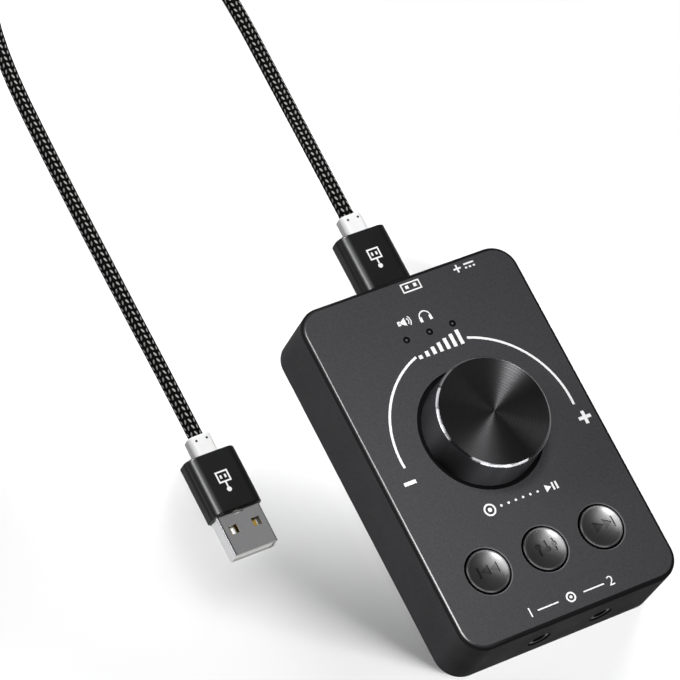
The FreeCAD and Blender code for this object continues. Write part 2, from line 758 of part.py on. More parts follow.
def draw_key_hole(sketch, radius, flat):
    """Draw a circle about the axis, cut off by one flat on its +X side."""
    r, f = size(radius), size(flat)
    angle = math.acos(f / r)
    circle = Part.Circle(FreeCAD.Vector(0, 0, 0), FreeCAD.Vector(0, 0, 1), r)
    arc = sketch.addGeometry(Part.ArcOfCircle(circle, angle, 2 * math.pi - angle))
    high, low = FreeCAD.Vector(f, r * math.sin(angle), 0), FreeCAD.Vector(f, -r * math.sin(angle), 0)
    side = sketch.addGeometry(Part.LineSegment(low, high))
    sketch.addConstraint(Sketcher.Constraint("Coincident", arc, 3, -1, 1))
    sketch.addConstraint(Sketcher.Constraint("Coincident", arc, 1, side, 2))
    sketch.addConstraint(Sketcher.Constraint("Coincident", arc, 2, side, 1))
    sketch.addConstraint(Sketcher.Constraint("Vertical", side))
    constrain(sketch, radius, "Radius", arc)
    constrain(sketch, flat, "DistanceX", -1, 1, side, 1)


# ---------------------------------------------------------------- buttons, switches and lights

def make_buttons():
    for name, place in BUTTONS.items():
        x = f"{place} * button_pitch"
        make_button_cap(name, x)
        make_switch(name, x)


def make_button_cap(name, x):
    """A hollow cap with a crowned face, a flange under the roof and a stem on the switch."""
    body = new_body(f"button_{name}", x, "button_y", "0")
    rim = f"{HOUSING_TOP} + button_rim_proud"
    flange = f"{ROOF_UNDERSIDE} - button_flange_gap"
    skirt = f"{flange} - button_flange_thick"
    inner = "button_radius - button_skin"
    revolve(body, "cap", [
        ("0", f"{rim} + button_dome"), ("button_radius - button_rim", rim), ("button_radius", rim),
        ("button_radius", flange), ("button_flange_radius", flange), ("button_flange_radius", skirt),
        (inner, skirt), (inner, f"{rim} - button_skin"), ("button_stem_radius", f"{rim} - button_skin"),
        ("button_stem_radius", "plunger_top"), ("0", "plunger_top")], domes=(0,))


def make_switch(name, x):
    top = f"{BOARD_TOP} + switch_height"
    well = "plunger_radius + rotor_gap"
    base = new_body(f"switch_base_{name}", x, "button_y", "0")
    block(base, "moulding", "0", "0", BOARD_TOP, "switch_width", "switch_width", "switch_height")
    rod(base, "well", "0", "0", f"{top} - plunger_well", well, "plunger_well", cut=True)
    lid = new_body(f"switch_lid_{name}", x, "button_y", "0")
    block(lid, "plate", "0", "0", top, "switch_width", "switch_width", "switch_lid")
    rod(lid, "hole", "0", "0", top, well, "switch_lid", cut=True)
    plunger = new_body(f"switch_plunger_{name}", x, "button_y", "0")
    bottom = f"{top} - plunger_well + 2 * rotor_gap"
    rod(plunger, "pin", "0", "0", bottom, "plunger_radius", f"plunger_top - ({bottom})")


def make_lights():
    """A clear guide carries the light of three small lamps up to the roof's holes."""
    guide = new_body("light_guide", "0", "light_y", "0")
    block(guide, "bar", "0", "0", f"{ROOF_UNDERSIDE} - light_bar_thick",
          "2 * light_pitch + light_bar_width", "light_bar_width", "light_bar_thick")
    for place in LIGHTS:
        rod(guide, f"pin_{place + 1}", f"{place} * light_pitch", "0", "light_pin_bottom",
            "light_pin_radius", f"{HOUSING_TOP} - light_pin_setback - light_pin_bottom")
    lamps = new_body("lamps", "0", "light_y", "0")
    lamp = block(lamps, "lamp", "-light_pitch", "0", BOARD_TOP, "lamp_length", "lamp_width",
                 "lamp_height")
    repeat(lamps, "row", lamp, {"X_Axis": "2 * light_pitch"}, count=len(LIGHTS))


# ---------------------------------------------------------------- sockets

def make_usb_socket():
    shell = new_body("usb_socket_shell")
    outer = new_sketch(shell, "outer", "XZ_Plane", SOCKET_FRONT)
    draw_rounded_rectangle(outer, "0", "plug_level", "socket_width", "socket_height", "socket_corner")
    extrude(shell, "box", outer, "socket_length", toward=-1)
    inner = new_sketch(shell, "inner", "XZ_Plane", SOCKET_FRONT)
    draw_rounded_rectangle(inner, "0", "plug_level", "socket_width - 2 * socket_sheet",
                           "socket_height - 2 * socket_sheet", "socket_corner - socket_sheet")
    extrude(shell, "mouth", inner, "socket_length", toward=-1, cut=True)
    leg_height = f"plug_level - socket_height / 2 + socket_corner - {BOARD_TOP}"
    for side_name, side in SIDES.items():
        for end_name, share in SOCKET_LEGS.items():
            block(shell, f"{side_name}_{end_name}_leg", f"{side} * (socket_width - socket_sheet) / 2",
                  f"{SOCKET_FRONT} - {share} * socket_length", BOARD_TOP, "socket_sheet",
                  "socket_leg", leg_height)

    tongue = new_body("usb_socket_tongue")
    back = f"{SOCKET_FRONT} - socket_length"
    block(tongue, "back", "0", f"{back} + socket_back / 2", "plug_level - socket_height / 2 + socket_sheet",
          "socket_width - 2 * (socket_sheet + socket_corner)", "socket_back",
          "socket_height - 2 * socket_sheet")
    reach = "socket_length - socket_back - tongue_setback"
    middle = f"{back} + socket_back + ({reach}) / 2"
    block(tongue, "blade", "0", middle, "plug_level + tongue_gap", "tongue_width", reach,
          "tongue_thick")

    strips = new_body("usb_socket_contacts")
    add_contacts(strips, middle, "plug_level + tongue_gap - strip_thick", f"{reach} - 2 * strip_width")


def add_contacts(body, y, z, length):
    """Lay the row of contact strips side by side about the middle of a socket or plug."""
    reach = f"{CONTACTS - 1} * strip_pitch"
    strip = block(body, "strip", f"-{reach} / 2", y, z, "strip_width", length, "strip_thick")
    repeat(body, "row", strip, {"X_Axis": reach}, count=CONTACTS)


def make_power_socket():
    shell = new_body("power_socket_shell", "power_x", None, f"{BOARD_TOP} + power_height / 2")
    for name, inset, cut in (("box", "0", False), ("mouth", "power_sheet", True)):
        sketch = new_sketch(shell, name + "_outline", "XZ_Plane", SOCKET_FRONT)
        wide = f"power_width / 2 - {inset}"
        narrow = f"power_width / 2 - power_slope - {inset} / 2"
        high = f"power_height / 2 - {inset}"
        draw_outline(sketch, [(f"-({wide})", high), (f"-({wide})", "0"), (f"-({narrow})", f"-({high})"),
                              (narrow, f"-({high})"), (wide, "0"), (wide, high)])
        extrude(shell, name, sketch, f"power_length - {inset}", toward=-1, cut=cut)
    tongue = new_body("power_socket_tongue", "power_x", None, f"{BOARD_TOP} + power_height / 2")
    block(tongue, "blade", "0", f"{SOCKET_FRONT} - power_length / 2", "power_sheet",
          "power_tongue_width", "power_length - 2 * power_sheet", "power_tongue_thick")


def make_audio_sockets():
    for name in SIDES:
        body = new_body(f"audio_socket_{name}", f"jack_{name}_x", None, JACK_LEVEL)
        seat = f"{FRONT_FACE} + wall_thick + jack_seat_gap"
        mouth = f"{FRONT_FACE} + jack_nose_setback"
        block(body, "moulding", "0", f"{seat} + jack_length / 2", "-jack_height / 2", "jack_width",
              "jack_length", "jack_height")
        rod(body, "nose", "0", mouth, "0", "jack_nose_radius", f"{seat} - ({mouth})", along="Y")
        rod(body, "bore", "0", mouth, "0", "jack_bore_radius", "jack_bore_length", along="Y", cut=True)
        lugs = new_body(f"audio_contacts_{name}", f"jack_{name}_x", None, JACK_LEVEL)
        for side_name, side in SIDES.items():
            for end_name, share in JACK_LUGS.items():
                block(lugs, f"{side_name}_{end_name}_lug", f"{side} * (jack_width + encoder_sheet) / 2",
                      f"{seat} + {share} * jack_length", "-jack_height / 2", "encoder_sheet",
                      "socket_leg", "jack_height / 2")


# ---------------------------------------------------------------- electronics

def make_chips():
    chip = new_body("audio_chip", "0", "audio_chip_y", BOARD_TOP)
    add_chip(chip, "chip_width", "chip_width", CHIP_LEADS)
    amplifiers = new_body("amplifier_chips", None, "amplifier_y", BOARD_TOP)
    for name, side in SIDES.items():
        add_chip(amplifiers, "small_chip_width", "small_chip_length", SMALL_CHIP_LEADS,
                 f"{side} * amplifier_x", name)
    crystal = new_body("crystal", "-crystal_x", "audio_chip_y", BOARD_TOP)
    outline = new_sketch(crystal, "can_outline")
    draw_rounded_rectangle(outline, "0", "0", "crystal_width", "crystal_length",
                           "crystal_width / 2 - running_gap")
    extrude(crystal, "can", outline, "crystal_height")
    capacitors = new_body("capacitors", "crystal_x", "audio_chip_y - capacitor_pitch", BOARD_TOP)
    can = rod(capacitors, "can", "0", "0", "0", "capacitor_radius", "capacitor_height")
    repeat(capacitors, "row", can, {"Y_Axis": f"{CAPACITORS - 1} * capacitor_pitch"}, count=CAPACITORS)


def add_chip(body, width, length, leads, x="0", name="chip"):
    """A moulded package on flat leads that stick out of its two long sides."""
    for index in range(leads):
        block(body, f"{name}_lead_{index}", x, f"({index} - {(leads - 1) / 2}) * lead_pitch", "0",
              f"{width} + 2 * lead_reach", "lead_width", "lead_thick")
    block(body, name, x, "0", "lead_thick", width, length, "chip_height")


# ---------------------------------------------------------------- plugs and cord

def make_plug(end, x, y, z):
    """A plug that points along -Y; its place is the middle of its moulded body's front face."""
    place = (x, y, z)
    shell = new_body(f"{end}_plug_shell", *place)
    outer = new_sketch(shell, "outer", "XZ_Plane", "-plug_metal_length")
    draw_rounded_rectangle(outer, "0", "0", "plug_metal_width", "plug_metal_thick", "plug_metal_radius")
    reach = "plug_metal_length + plug_metal_sunk"
    extrude(shell, "sleeve", outer, reach)
    inner = new_sketch(shell, "inner", "XZ_Plane", "-plug_metal_length")
    draw_rounded_rectangle(inner, "0", "0", "plug_metal_width - 2 * plug_metal_sheet",
                           "plug_metal_thick - 2 * plug_metal_sheet",
                           "plug_metal_radius - plug_metal_sheet")
    extrude(shell, "hollow", inner, reach, cut=True)
    for side_name, side in SIDES.items():
        block(shell, f"{side_name}_window", f"{side} * plug_window_x", "-plug_window_back",
              "-plug_metal_thick / 2", "plug_window", "plug_window", "plug_metal_thick", cut=True)
    block(shell, "root_notch", "0", "-notch_length / 2", "0", "notch_width", "notch_length",
          "plug_metal_thick / 2", cut=True)

    core = new_body(f"{end}_plug_core", *place)
    core_reach = f"{reach} - plug_core_setback"
    block(core, "blade", "0", f"plug_metal_sunk - ({core_reach}) / 2",
          "-(plug_metal_thick / 2 - plug_metal_sheet)", "plug_core_width", core_reach,
          "plug_metal_thick / 2 - plug_metal_sheet - plug_core_drop")
    strips = new_body(f"{end}_plug_contacts", *place)
    add_contacts(strips, "-plug_metal_length / 2", "-plug_core_drop", "strip_length")

    grip = new_body(f"{end}_plug_body", *place)
    outline = new_sketch(grip, "outline", "XZ_Plane", "0")
    draw_rounded_rectangle(outline, "0", "0", "plug_body_width", "plug_body_thick", "plug_body_radius")
    extrude(grip, "moulding", outline, "plug_body_length")
    back = size("plug_body_length")
    dress(grip, "Fillet", "end_edges", "plug_end_radius",
          lambda edge: lies_at(edge, "Y", 0.0) or lies_at(edge, "Y", back))
    metal = new_sketch(grip, "metal_seat", "XZ_Plane", "0")
    draw_rounded_rectangle(metal, "0", "0", "plug_metal_width", "plug_metal_thick", "plug_metal_radius")
    extrude(grip, "metal_pocket", metal, "plug_metal_sunk", cut=True)
    seat = new_sketch(grip, "collar_seat", "XZ_Plane", "plug_body_length")
    draw_rounded_rectangle(seat, "0", "0", "collar_width", "collar_thick", "collar_radius")
    extrude(grip, "collar_pocket", seat, "collar_sunk", toward=-1, cut=True)

    collar = new_body(f"{end}_plug_collar", *place)
    root = new_sketch(collar, "outline", "XZ_Plane", "plug_body_length - collar_sunk")
    draw_rounded_rectangle(root, "0", "0", "collar_width", "collar_thick", "collar_radius")
    extrude(collar, "sleeve", root, "collar_length + collar_sunk")
    tip = size("plug_body_length + collar_length")
    dress(collar, "Fillet", "tip_edge", "plug_end_radius", lambda edge: lies_at(edge, "Y", tip))
    for side_name, side in SIDES.items():
        rod(collar, f"{side_name}_dimple", f"{side} * dimple_x",
            "plug_body_length + collar_length - dimple_back", "collar_thick / 2 - dimple_depth",
            "dimple_radius", "2 * dimple_depth", cut=True)


def make_coil():
    """The outer shape of the wound cord: a ring with a notch under it for the tie."""
    body = new_body("cord_coil", "coil_x", "coil_y", "0")
    inner, outer = "coil_inner_turn - cord_radius", "coil_outer_turn + cord_radius"
    low, high = "seam_gap / 2", "2 * cord_radius + coil_layer_rise"
    revolve(body, "ring", [(inner, low), (outer, low), (outer, high), (inner, high)])
    dress(body, "Fillet", "ring_edges", "cord_radius - seam_gap",
          lambda edge: lies_at(edge, "Z", size(low)) or lies_at(edge, "Z", size(high)))
    block(body, "tie_notch", "0", f"({inner} + {outer}) / 2", "0", "tie_width + 2 * seam_gap",
          f"{outer} - ({inner}) + 2 * cord_radius", "tie_thick + seam_gap", cut=True)

    tie = new_body("cord_tie", "coil_x", "coil_y", "0")
    near, far = f"{inner} - cord_radius / 2", f"{outer} + seam_gap"
    block(tie, "band", "0", f"({near} + {far}) / 2", "0", "tie_width",
          f"{far} - ({near}) + 2 * tie_thick", f"{high} + 2 * tie_thick")
    block(tie, "opening", "0", f"({near} + {far}) / 2", "tie_thick", "tie_width", f"{far} - ({near})",
          high, cut=True)


def rounded_path(points):
    """Join straight runs by tangent arcs as large as the runs beside each corner allow."""
    places = [FreeCAD.Vector(*point) for point in points]
    edges, radii, here = [], [], places[0]
    for before, corner, after in zip(places, places[1:], places[2:]):
        backward, forward = before - corner, after - corner
        trim = ARC_SHARE * min(backward.Length, forward.Length)
        turn = math.pi - backward.getAngle(forward)
        radii.append(trim / math.tan(turn / 2))
        backward.normalize()
        forward.normalize()
        entry, leave = corner + backward * trim, corner + forward * trim
        bisector = backward + forward
        bisector.normalize()
        centre = corner + bisector * (radii[-1] / math.cos(turn / 2))
        middle = centre - bisector * radii[-1]
        edges.append(Part.LineSegment(here, entry).toShape())
        edges.append(Part.Arc(entry, middle, leave).toShape())
        here = leave
    edges.append(Part.LineSegment(here, places[-1]).toShape())
    return Part.Wire(edges), radii


def make_cord(label, points):
    path, radii = rounded_path(points)
    direction = FreeCAD.Vector(*points[1]) - FreeCAD.Vector(*points[0])
    section = Part.Wire([Part.makeCircle(size("cord_radius"), FreeCAD.Vector(*points[0]), direction)])
    tube = path.makePipeShell([section], True, False)
    expected = math.pi * size("cord_radius") ** 2 * path.Length
    share = tube.Volume / expected
    print(f"{label}: length {path.Length:.1f}, radii {', '.join(f'{r:.0f}' for r in radii)}, "
          f"volume {share:.4f} of section times length")
    if abs(share - 1) > SWEEP_TOLERANCE:
        raise RuntimeError(f"{label}: the tube's volume is wrong")
    feature = doc.addObject("Part::Feature", label)
    feature.Label = label
    feature.Shape = tube
    feature.Placement = FreeCAD.Placement()
    parts.append(feature)


# ---------------------------------------------------------------- checks and export

def check_and_export():
    doc.recompute()
    faults = [f"{item.Name}: {item.State}" for item in doc.Objects
              if {"Invalid", "Error"} & set(item.State)]
    for part in parts:
        if part.Shape.isNull() or not part.Shape.isValid() or not part.Shape.Solids:
            faults.append(f"{part.Label}: the shape is not valid")
    if faults:
        raise RuntimeError("; ".join(faults))
    os.makedirs("parts", exist_ok=True)
    for part in parts:
        part.Shape.exportStep(f"parts/{part.Label}.step")
    print(f"{len(parts)} sub-parts exported")


fill_sheet()
make_top_cover()
make_bottom_cover()
make_feet()
make_screws("cover_screws", "post_x", "post_y", 2, HEAD_SEAT, "screw_length")
make_screws("board_screws", "brace_x", "brace_y", 1, "board_bottom", "brace_screw_length")
make_board()
make_encoder()
make_encoder_rotor()
make_encoder_shaft()
make_dial()
make_buttons()
make_lights()
make_usb_socket()
make_power_socket()
make_audio_sockets()
make_chips()
make_plug("near", "0", NEAR_PLUG_Y, "plug_level")
make_plug("far", "far_plug_x", "far_plug_y", "plug_body_thick / 2")
make_cord("cord_near", NEAR_ROUTE)
make_cord("cord_far", FAR_ROUTE)
make_coil()
check_and_export()
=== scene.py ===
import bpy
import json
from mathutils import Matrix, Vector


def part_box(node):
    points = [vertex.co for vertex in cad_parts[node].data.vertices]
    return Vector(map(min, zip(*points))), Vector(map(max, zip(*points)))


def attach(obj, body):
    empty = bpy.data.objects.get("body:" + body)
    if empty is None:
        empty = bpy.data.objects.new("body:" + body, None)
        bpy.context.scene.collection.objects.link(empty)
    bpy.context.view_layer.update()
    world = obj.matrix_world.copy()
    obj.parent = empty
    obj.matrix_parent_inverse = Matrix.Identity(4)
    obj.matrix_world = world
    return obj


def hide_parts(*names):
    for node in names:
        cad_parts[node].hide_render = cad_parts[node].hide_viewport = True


bl_info = {
    "name": "Volume Knob Dresser",
    "version": (1, 0, 0),
    "blender": (4, 5, 0),
    "location": "3D View > Sidebar > Volume Knob",
    "description": "Gives the packed volume knob its finishes, signs, buttons, cord and studio",
    "category": "Object",
}

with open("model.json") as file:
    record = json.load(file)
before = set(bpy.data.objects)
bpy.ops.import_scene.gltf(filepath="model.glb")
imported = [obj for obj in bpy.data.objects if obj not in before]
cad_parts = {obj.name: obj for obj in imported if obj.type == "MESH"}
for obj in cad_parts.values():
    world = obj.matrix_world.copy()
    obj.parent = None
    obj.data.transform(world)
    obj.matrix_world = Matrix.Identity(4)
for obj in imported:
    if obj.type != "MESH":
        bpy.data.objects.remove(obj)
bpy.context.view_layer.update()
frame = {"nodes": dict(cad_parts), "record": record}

import json
import math

import bmesh
import bpy
from bpy.props import FloatProperty, FloatVectorProperty, PointerProperty
from mathutils import Matrix, Vector

MM = 0.001

# Heights and places that the signs, buttons and cord share, in metres.
HOUSING_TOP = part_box("top_cover")[1].z
DIAL_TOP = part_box("dial_cap")[1].z
DIAL_AXIS = sum(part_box("dial_cap"), Vector()) / 2
LIGHT_PITCH = 6.65 * MM
LIGHTS_HALF = 1.5 * LIGHT_PITCH
LIGHT_ROW = 31.5 * MM
PLUG_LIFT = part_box("near_plug_body")[0].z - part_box("far_plug_body")[0].z
FAR_PLUG_X = sum(corner.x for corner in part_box("far_plug_body")) / 2
DIMPLE_ASIDE, DIMPLE_BACK, DIMPLE_DEPTH = 1.43 * MM, 1.4 * MM, 0.35 * MM
BUTTON_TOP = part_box("button_mode")[1].z
BUTTON_OUTER = 5.5 * MM
BUTTON_DOME = 0.95 * MM
BUTTON_RIM = 0.38 * MM
BUTTON_BREAK = 0.24 * MM
BUTTON_BALL = ((BUTTON_OUTER - BUTTON_RIM) ** 2 + BUTTON_DOME ** 2) / (2 * BUTTON_DOME)


# ---------------------------------------------------------------- colours

def from_hex(text):
    """Turn an sRGB hex colour into the linear numbers that shaders and lamps take."""
    shares = [int(text[i:i + 2], 16) / 255 for i in (1, 3, 5)]
    return tuple(s / 12.92 if s <= 0.04045 else ((s + 0.055) / 1.055) ** 2.4 for s in shares)


def colour(name, description, text):
    return FloatVectorProperty(name=name, description=description, subtype="COLOR", size=3, min=0.0,
                               max=1.0, default=from_hex(text))


def length(name, description, default):
    return FloatProperty(name=name, description=description, default=default, min=0.0, unit="LENGTH")


class KnobColours(bpy.types.PropertyGroup):
    cover: colour("Top cover", "Sand-textured housing", "#474749")
    # Painted shade: the rounded top edge is coloured darker than the top.
    cover_edge_shade: colour("Cover edge", "Rounded top edge, rubbed smooth", "#1c1c1d")
    # Painted shade: the well, the holes and a ring round each light hole are coloured near black.
    cover_inside_shade: colour("Cover inside", "Bare moulding in the well and the holes", "#0b0b0c")
    floor_plate: colour("Floor plate", "Underside of the housing", "#333334")
    dial: colour("Dial", "Anodised turned aluminium", "#2e2e2f")
    # Painted light: the dial's side is coloured lighter than its top, so that it looks brighter.
    dial_side_brightened: colour("Dial side", "Anodised side, turned with a finer tool", "#3e3e40")
    dial_edge: colour("Dial edge", "Bare metal of the dial's chamfer", "#5c5c5e")
    buttons: colour("Buttons", "Crowned push buttons", "#28282a")
    window: colour("Light window", "Smoked ends of the light guide", "#050506")
    ink: colour("Ink", "Printed signs", "#f4f4f4")
    plug_grip: colour("Plug grip", "Moulded grips of both plugs", "#171718")
    collar: colour("Collar", "Sleeve between grip and cord", "#f2f2f2")
    yarn_dark: colour("Dark yarn", "Most of the cord's braid", "#020202")
    yarn_light: colour("Light yarn", "The flecks in the cord's braid", "#b2b2b0")
    strap: colour("Strap", "Tie round the wound cord", "#161617")


class KnobSizes(bpy.types.PropertyGroup):
    cord_diameter: length("Cord diameter", "Over the braid", 3.8 * MM)
    fleck_pitch: length("Fleck pitch", "From one light fleck of the braid to the next", 1.71 * MM)
    ink_height: length("Ink height", "How far the printed signs stand proud", 0.03 * MM)
    engraving: length("Engraving depth", "Depth of the signs in the buttons", 0.15 * MM)
    groove_pitch: length("Groove pitch", "Between the turned grooves on the dial", 0.8 * MM)


# ---------------------------------------------------------------- finishes

# How deep under the housing's top its edge is painted dark as painted shade, and where its line of gloss
# lies.
EDGE_SHADE_DEPTHS = (1.3 * MM, 0.7 * MM)
GLOSS_START, GLOSS_END = (0.002 * MM, 0.04 * MM), (0.3 * MM, 0.1 * MM)
GLOSS_LEFT = (-17 * MM, -26 * MM)
TOP_SKIN = 0.015 * MM
HOLLOW_X, HOLLOW_Y, HOLLOW_SLANT = 29.6 * MM, 45.6 * MM, 69 * MM
HOLE_BREAK = 0.24 * MM
# The radius of the ring of painted shade round each light hole.
LIGHT_SHADE_RADIUS = 0.9 * MM
DIAL_ROUGH, DIAL_EDGE_ROUGH = 0.34, 0.16
# Painted colours: a pale painted highlight on the holes' broken edges, painted shade in the buttons' signs
# and the collars' dimples, and the pale core of the light windows.
HOLE_EDGE_HIGHLIGHT, SIGN_SHADE, DIMPLE_SHADE, LIGHT_CORE = "#77777a", "#141415", "#2a2a2b", "#6a6a6c"
# The polished part of a plug's grip: its height over the surface, and how far left of the middle.
GRIP_TOP, GRIP_LEFT = (5.2 * MM, 6.3 * MM), (-3.8 * MM, -4.8 * MM)
BRAID_ROWS = 10
BRAID_LEAN = math.radians(16)
THREAD_WIDE, THREAD_LONG = 0.24, 0.56


def add_node(tree, kind, settings=None, links=None):
    """Add one shader node with its settings, and link other nodes' outputs into it."""
    node = tree.nodes.new("ShaderNode" + kind)
    for name, value in (settings or {}).items():
        if isinstance(name, int) or name in node.inputs:
            node.inputs[name].default_value = value
        else:
            setattr(node, name, value)
    for name, output in (links or {}).items():
        tree.links.new(output, node.inputs[name])
    return node


def start_finish(name, base, roughness, **settings):
    """Start a material: its Principled shader with plain values, and the places on the piece."""
    finish = bpy.data.materials.new(name)
    finish.use_nodes = True
    tree = finish.node_tree
    shader = tree.nodes["Principled BSDF"]
    shader.inputs["Base Color"].default_value = (*base, 1.0)
    shader.inputs["Roughness"].default_value = roughness
    for socket, value in settings.items():
        shader.inputs[socket.replace("_", " ")].default_value = value
    return finish, tree, shader, add_node(tree, "TexCoord").outputs["Object"]


def mottle(tree, shader, place, base, grain, spread):
    """Let a colour drift a little lighter and darker, as pigment and handling leave it."""
    cloud = add_node(tree, "TexNoise", {"Scale": 1 / grain, "Detail": 3.0}, {"Vector": place})
    value = add_node(tree, "MapRange", {"From Min": 0.3, "From Max": 0.7, "To Min": 1 - spread,
                                        "To Max": 1 + spread}, {"Value": cloud.outputs["Fac"]})
    tint = add_node(tree, "HueSaturation", {"Color": (*base, 1.0)}, {"Value": value.outputs["Result"]})
    tree.links.new(tint.outputs["Color"], shader.inputs["Base Color"])


def wear(tree, shader, place, low, high, grain):
    """Vary the roughness between two values, in patches."""
    patches = add_node(tree, "TexNoise", {"Scale": 1 / grain, "Detail": 4.0}, {"Vector": place})
    value = add_node(tree, "MapRange", {"From Min": 0.35, "From Max": 0.65, "To Min": low, "To Max": high},
                     {"Value": patches.outputs["Fac"]})
    tree.links.new(value.outputs["Result"], shader.inputs["Roughness"])


def relief(tree, shader, height, depth, strength=1.0):
    """Bump a surface by a height between 0 and 1 that stands for a depth in metres."""
    bump = add_node(tree, "Bump", {"Strength": strength, "Distance": depth}, {"Height": height})
    tree.links.new(bump.outputs["Normal"], shader.inputs["Normal"])


def moulded_plastic(name, base, roughness, grain, depth, spread=0.06):
    """A moulded plastic: soft sheen, the mould's fine grain and a faint drift of the pigment."""
    finish, tree, shader, place = start_finish(name, base, roughness, IOR=1.5)
    mottle(tree, shader, place, base, 12 * grain, spread)
    wear(tree, shader, place, roughness - 0.05, roughness + 0.05, 20 * grain)
    sand = add_node(tree, "TexNoise", {"Scale": 1 / grain, "Detail": 2.0}, {"Vector": place})
    relief(tree, shader, sand.outputs["Fac"], depth)
    return finish


def plated_metal(name, base, roughness, grain, depth, drift=0.05):
    """A plated or drawn metal sheet: a clear sheen with faint rolling marks along one way."""
    finish, tree, shader, place = start_finish(name, base, roughness, Metallic=1.0)
    stretched = add_node(tree, "Mapping", {"Scale": (1.0, 0.08, 1.0)}, {"Vector": place})
    marks = add_node(tree, "TexNoise", {"Scale": 1 / grain, "Detail": 3.0},
                     {"Vector": stretched.outputs["Vector"]})
    mottle(tree, shader, place, base, 20 * grain, drift)
    wear(tree, shader, place, roughness - drift, roughness + drift, 10 * grain)
    relief(tree, shader, marks.outputs["Fac"], depth)
    return finish


def light_reach(tree, parts):
    """Give the distance from the axis of the nearest status light, of a row that repeats along X."""
    shifted = add_node(tree, "Math", {"operation": "ADD", 1: LIGHTS_HALF}, {0: parts.outputs["X"]})
    wrapped = add_node(tree, "Math", {"operation": "WRAP", 1: LIGHT_PITCH, 2: 0.0}, {0: shifted.outputs[0]})
    from_light = add_node(tree, "Math", {"operation": "SUBTRACT", 1: LIGHT_PITCH / 2},
                          {0: wrapped.outputs[0]})
    # Past the row's ends the distance counts as a metre more.
    aside = add_node(tree, "Math", {"operation": "ABSOLUTE"}, {0: parts.outputs["X"]})
    beyond = add_node(tree, "Math", {"operation": "GREATER_THAN", 1: LIGHTS_HALF}, {0: aside.outputs[0]})
    x = add_node(tree, "Math", {"operation": "ADD"}, {0: from_light.outputs[0], 1: beyond.outputs[0]})
    y = add_node(tree, "Math", {"operation": "SUBTRACT", 1: LIGHT_ROW}, {0: parts.outputs["Y"]})
    point = add_node(tree, "CombineXYZ", links={"X": x.outputs[0], "Y": y.outputs[0]})
    reach = add_node(tree, "VectorMath", {"operation": "LENGTH"}, {0: point.outputs["Vector"]})
    return reach.outputs["Value"]


